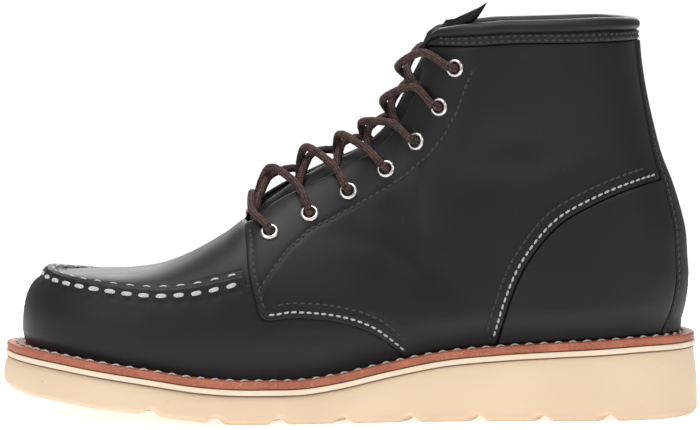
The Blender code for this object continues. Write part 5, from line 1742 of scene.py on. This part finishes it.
# Lace: one round braided cord of dark brown and black yarns. It starts as a straight bar through the
# lowest eyelets, then each end crosses over the tongue and goes down into the next eyelet opposite.
# Both ends stop out of sight behind the top eyelets.
LACE_RADIUS = 0.00165
LACE_CLEARANCE = 0.0004
LACE_TURNS = 16
BRAID_RELIEF = 0.045
BRAID_LENGTH = 0.0011
CORD_GUIDE = (0.35, 0.1, 0.93)
RING_REACH = 0.0030
RING_GAP = 0.0006
HOLE_DIP = 0.0009
HOLE_SIDE = 0.0004
DEEP_DIP = 0.0006
EDGE_RISE = 0.0012
EDGE_REACH = 0.0006
TUCK_DEPTH = 0.0045
LIP_OVERHANG = 0.0022
LACE_BOWS = [
    # rise over the gap, from the bar up
    0.0035,
    0.0075,
    0.0070,
    0.0055,
    0.0050,
    0.0050,
    0.0050,
]


def facing_edge(row, side):
    """Point of the facing's edge beside an eyelet and the way out of the leather there."""
    eyelet, eyelet_out = eyelet_place(row, side)
    line = top_line(side)
    fine = along_line(line[: COLLAR_CORNER_ROW + 1], np.linspace(0, 1, 200))
    flat = unrolled(fine, side)
    edge = wrapped(flat[:, 0], flat[:, 1])
    nearest = int(np.argmin(np.linalg.norm(edge - eyelet, axis=1)))
    return edge[nearest], eyelet_out


def cord(name, route, finish, nodes=()):
    """A round cord: a circle carried along a smooth path through the route's points.

    The path is a Catmull-Rom cubic between the points; the circle stands square to it, level with a
    guide. Two marks give the turn and the distance along, in millimetres, for the braid.
    """
    route = np.array(route)
    padded = np.concatenate([2 * route[:1] - route[1:2], route, 2 * route[-1:] - route[-2:-1]])
    steps = np.linspace(0, 1, 14, endpoint=False)[:, None]
    pieces = []
    for k in range(len(route) - 1):
        a, b, c, d = padded[k : k + 4]
        square = (2 * a - 5 * b + 4 * c - d) * steps ** 2
        cube = (3 * b - a - 3 * c + d) * steps ** 3
        pieces.append(0.5 * (2 * b + (c - a) * steps + square + cube))
    path = np.concatenate(pieces + [route[-1:]])
    path = along_line(path, np.linspace(0, 1, 16 * len(route)))
    ahead = unit(np.gradient(path, axis=0))
    beside = unit(np.cross(ahead, CORD_GUIDE))
    above = np.cross(beside, ahead)
    turn = np.arange(LACE_TURNS + 1) * 2 * math.pi / LACE_TURNS
    run = line_run(path)
    lean = run[:, None] / BRAID_LENGTH
    weave = 1 + BRAID_RELIEF * np.cos(4 * turn + lean) * np.cos(4 * turn - lean)
    spoke = beside[:, None, :] * np.cos(turn)[:, None] + above[:, None, :] * np.sin(turn)[:, None]
    ring = path[:, None, :] + LACE_RADIUS * weave[:, :, None] * spoke
    ends = [np.stack([ring[k], np.broadcast_to(path[k], ring[k].shape)], axis=1) for k in (0, -1)]
    round_mark = np.broadcast_to(turn[None, :] / (2 * math.pi), ring.shape[:2])
    run_mark = np.broadcast_to(run[:, None] * 1000, ring.shape[:2])
    marks = {
        "round_cord": [round_mark] + [np.stack([round_mark[k]] * 2, axis=1) for k in (0, -1)],
        "along_cord": [run_mark] + [np.stack([run_mark[k]] * 2, axis=1) for k in (0, -1)],
    }
    grids = [(ring, False, 0), (ends[0], False, 0), (ends[1], False, 0)]
    return add_piece(name, grids, [finish], nodes, marks, sharp=60.0)


braid, tree, shader = new_finish("braided_brown_lace", 0.85)
round_cord = add_node(tree, "ShaderNodeAttribute", attribute_name="round_cord").outputs["Fac"]
along_cord = add_node(tree, "ShaderNodeAttribute", attribute_name="along_cord").outputs["Fac"]
turned = work_out(tree, "MULTIPLY", round_cord, 2 * math.pi * 4)
climb = work_out(tree, "MULTIPLY", along_cord, 2.9)
yarn_a = work_out(tree, "SINE", work_out(tree, "ADD", turned, climb))
yarn_b = work_out(tree, "SINE", work_out(tree, "SUBTRACT", turned, climb))
crossing = work_out(tree, "MULTIPLY", yarn_a, yarn_b)
fleck = noise_at(tree, object_place(tree), 520.0, 2.0)
tone = work_out(tree, "ADD", work_out(tree, "MULTIPLY", crossing, 0.35), fleck)
yarn_stops = [(0.36, (0.008, 0.005, 0.005)), (0.54, (0.052, 0.019, 0.016)), (0.78, (0.125, 0.052, 0.044))]
yarns = ramp(tree, tone, yarn_stops)
join_look(tree, shader, colour=yarns, normal=bump(tree, crossing, 0.0002, 0.7))

over_leather = FIT + QUARTER_THICKNESS + LACE_RADIUS + LACE_CLEARANCE


def into_eyelet(row, side):
    """The last points of a strand: over the leather, over the ring's edge and down into the hole."""
    eyelet, out = eyelet_place(row, side)
    edge, edge_out = facing_edge(row, side)
    inward = unit(edge - eyelet)
    over_edge = edge + edge_out * (over_leather + EDGE_RISE) + inward * EDGE_REACH
    over_ring = eyelet + out * (over_leather + EYELET_RISE + RING_GAP) + inward * RING_REACH
    sunk = eyelet + out * (over_leather - HOLE_DIP) + inward * HOLE_SIDE
    deep = eyelet + out * (FIT - DEEP_DIP) - inward * HOLE_SIDE
    return [over_edge, over_ring, sunk, deep]


lateral_end = into_eyelet(EYELETS[0], LATERAL)
medial_end = into_eyelet(EYELETS[0], MEDIAL)
bar_middle = 0.5 * (lateral_end[0] + medial_end[0]) + np.array([-0.0008, 0.0, LACE_BOWS[0]])
cord("lace_bottom_bar", lateral_end[::-1] + [bar_middle] + medial_end, braid, ["lace_bar"])
for number in range(1, len(EYELETS)):
    low_row = EYELETS[number - 1]
    high_row = EYELETS[number]
    for side_name, side in SIDES.items():
        start_edge, start_out = facing_edge(low_row, side)
        end = into_eyelet(high_row, -side)
        other_edge = facing_edge(low_row, -side)[0]
        inboard = unit(other_edge - start_edge)
        start = start_edge + inboard * EDGE_REACH - start_out * TUCK_DEPTH
        lip = start_edge + inboard * (LACE_RADIUS + LIP_OVERHANG) + start_out * EDGE_RISE
        gap_out = unit(start_out + facing_edge(high_row, -side)[1])
        stacked = 0.0 if side == LATERAL else 2 * LACE_RADIUS + 0.0002
        bow = LACE_BOWS[number] + stacked
        middle = 0.5 * (lip + end[0]) + gap_out * bow
        rising = lip + (middle - lip) * 0.45 + gap_out * 0.30 * bow
        nodes = ["lace_crossing_%d" % number] if side == LATERAL else []
        cord("lace_strand_%s_%d" % (side_name, number), [start, lip, rising, middle] + end, braid, nodes)


bpy.context.view_layer.update()
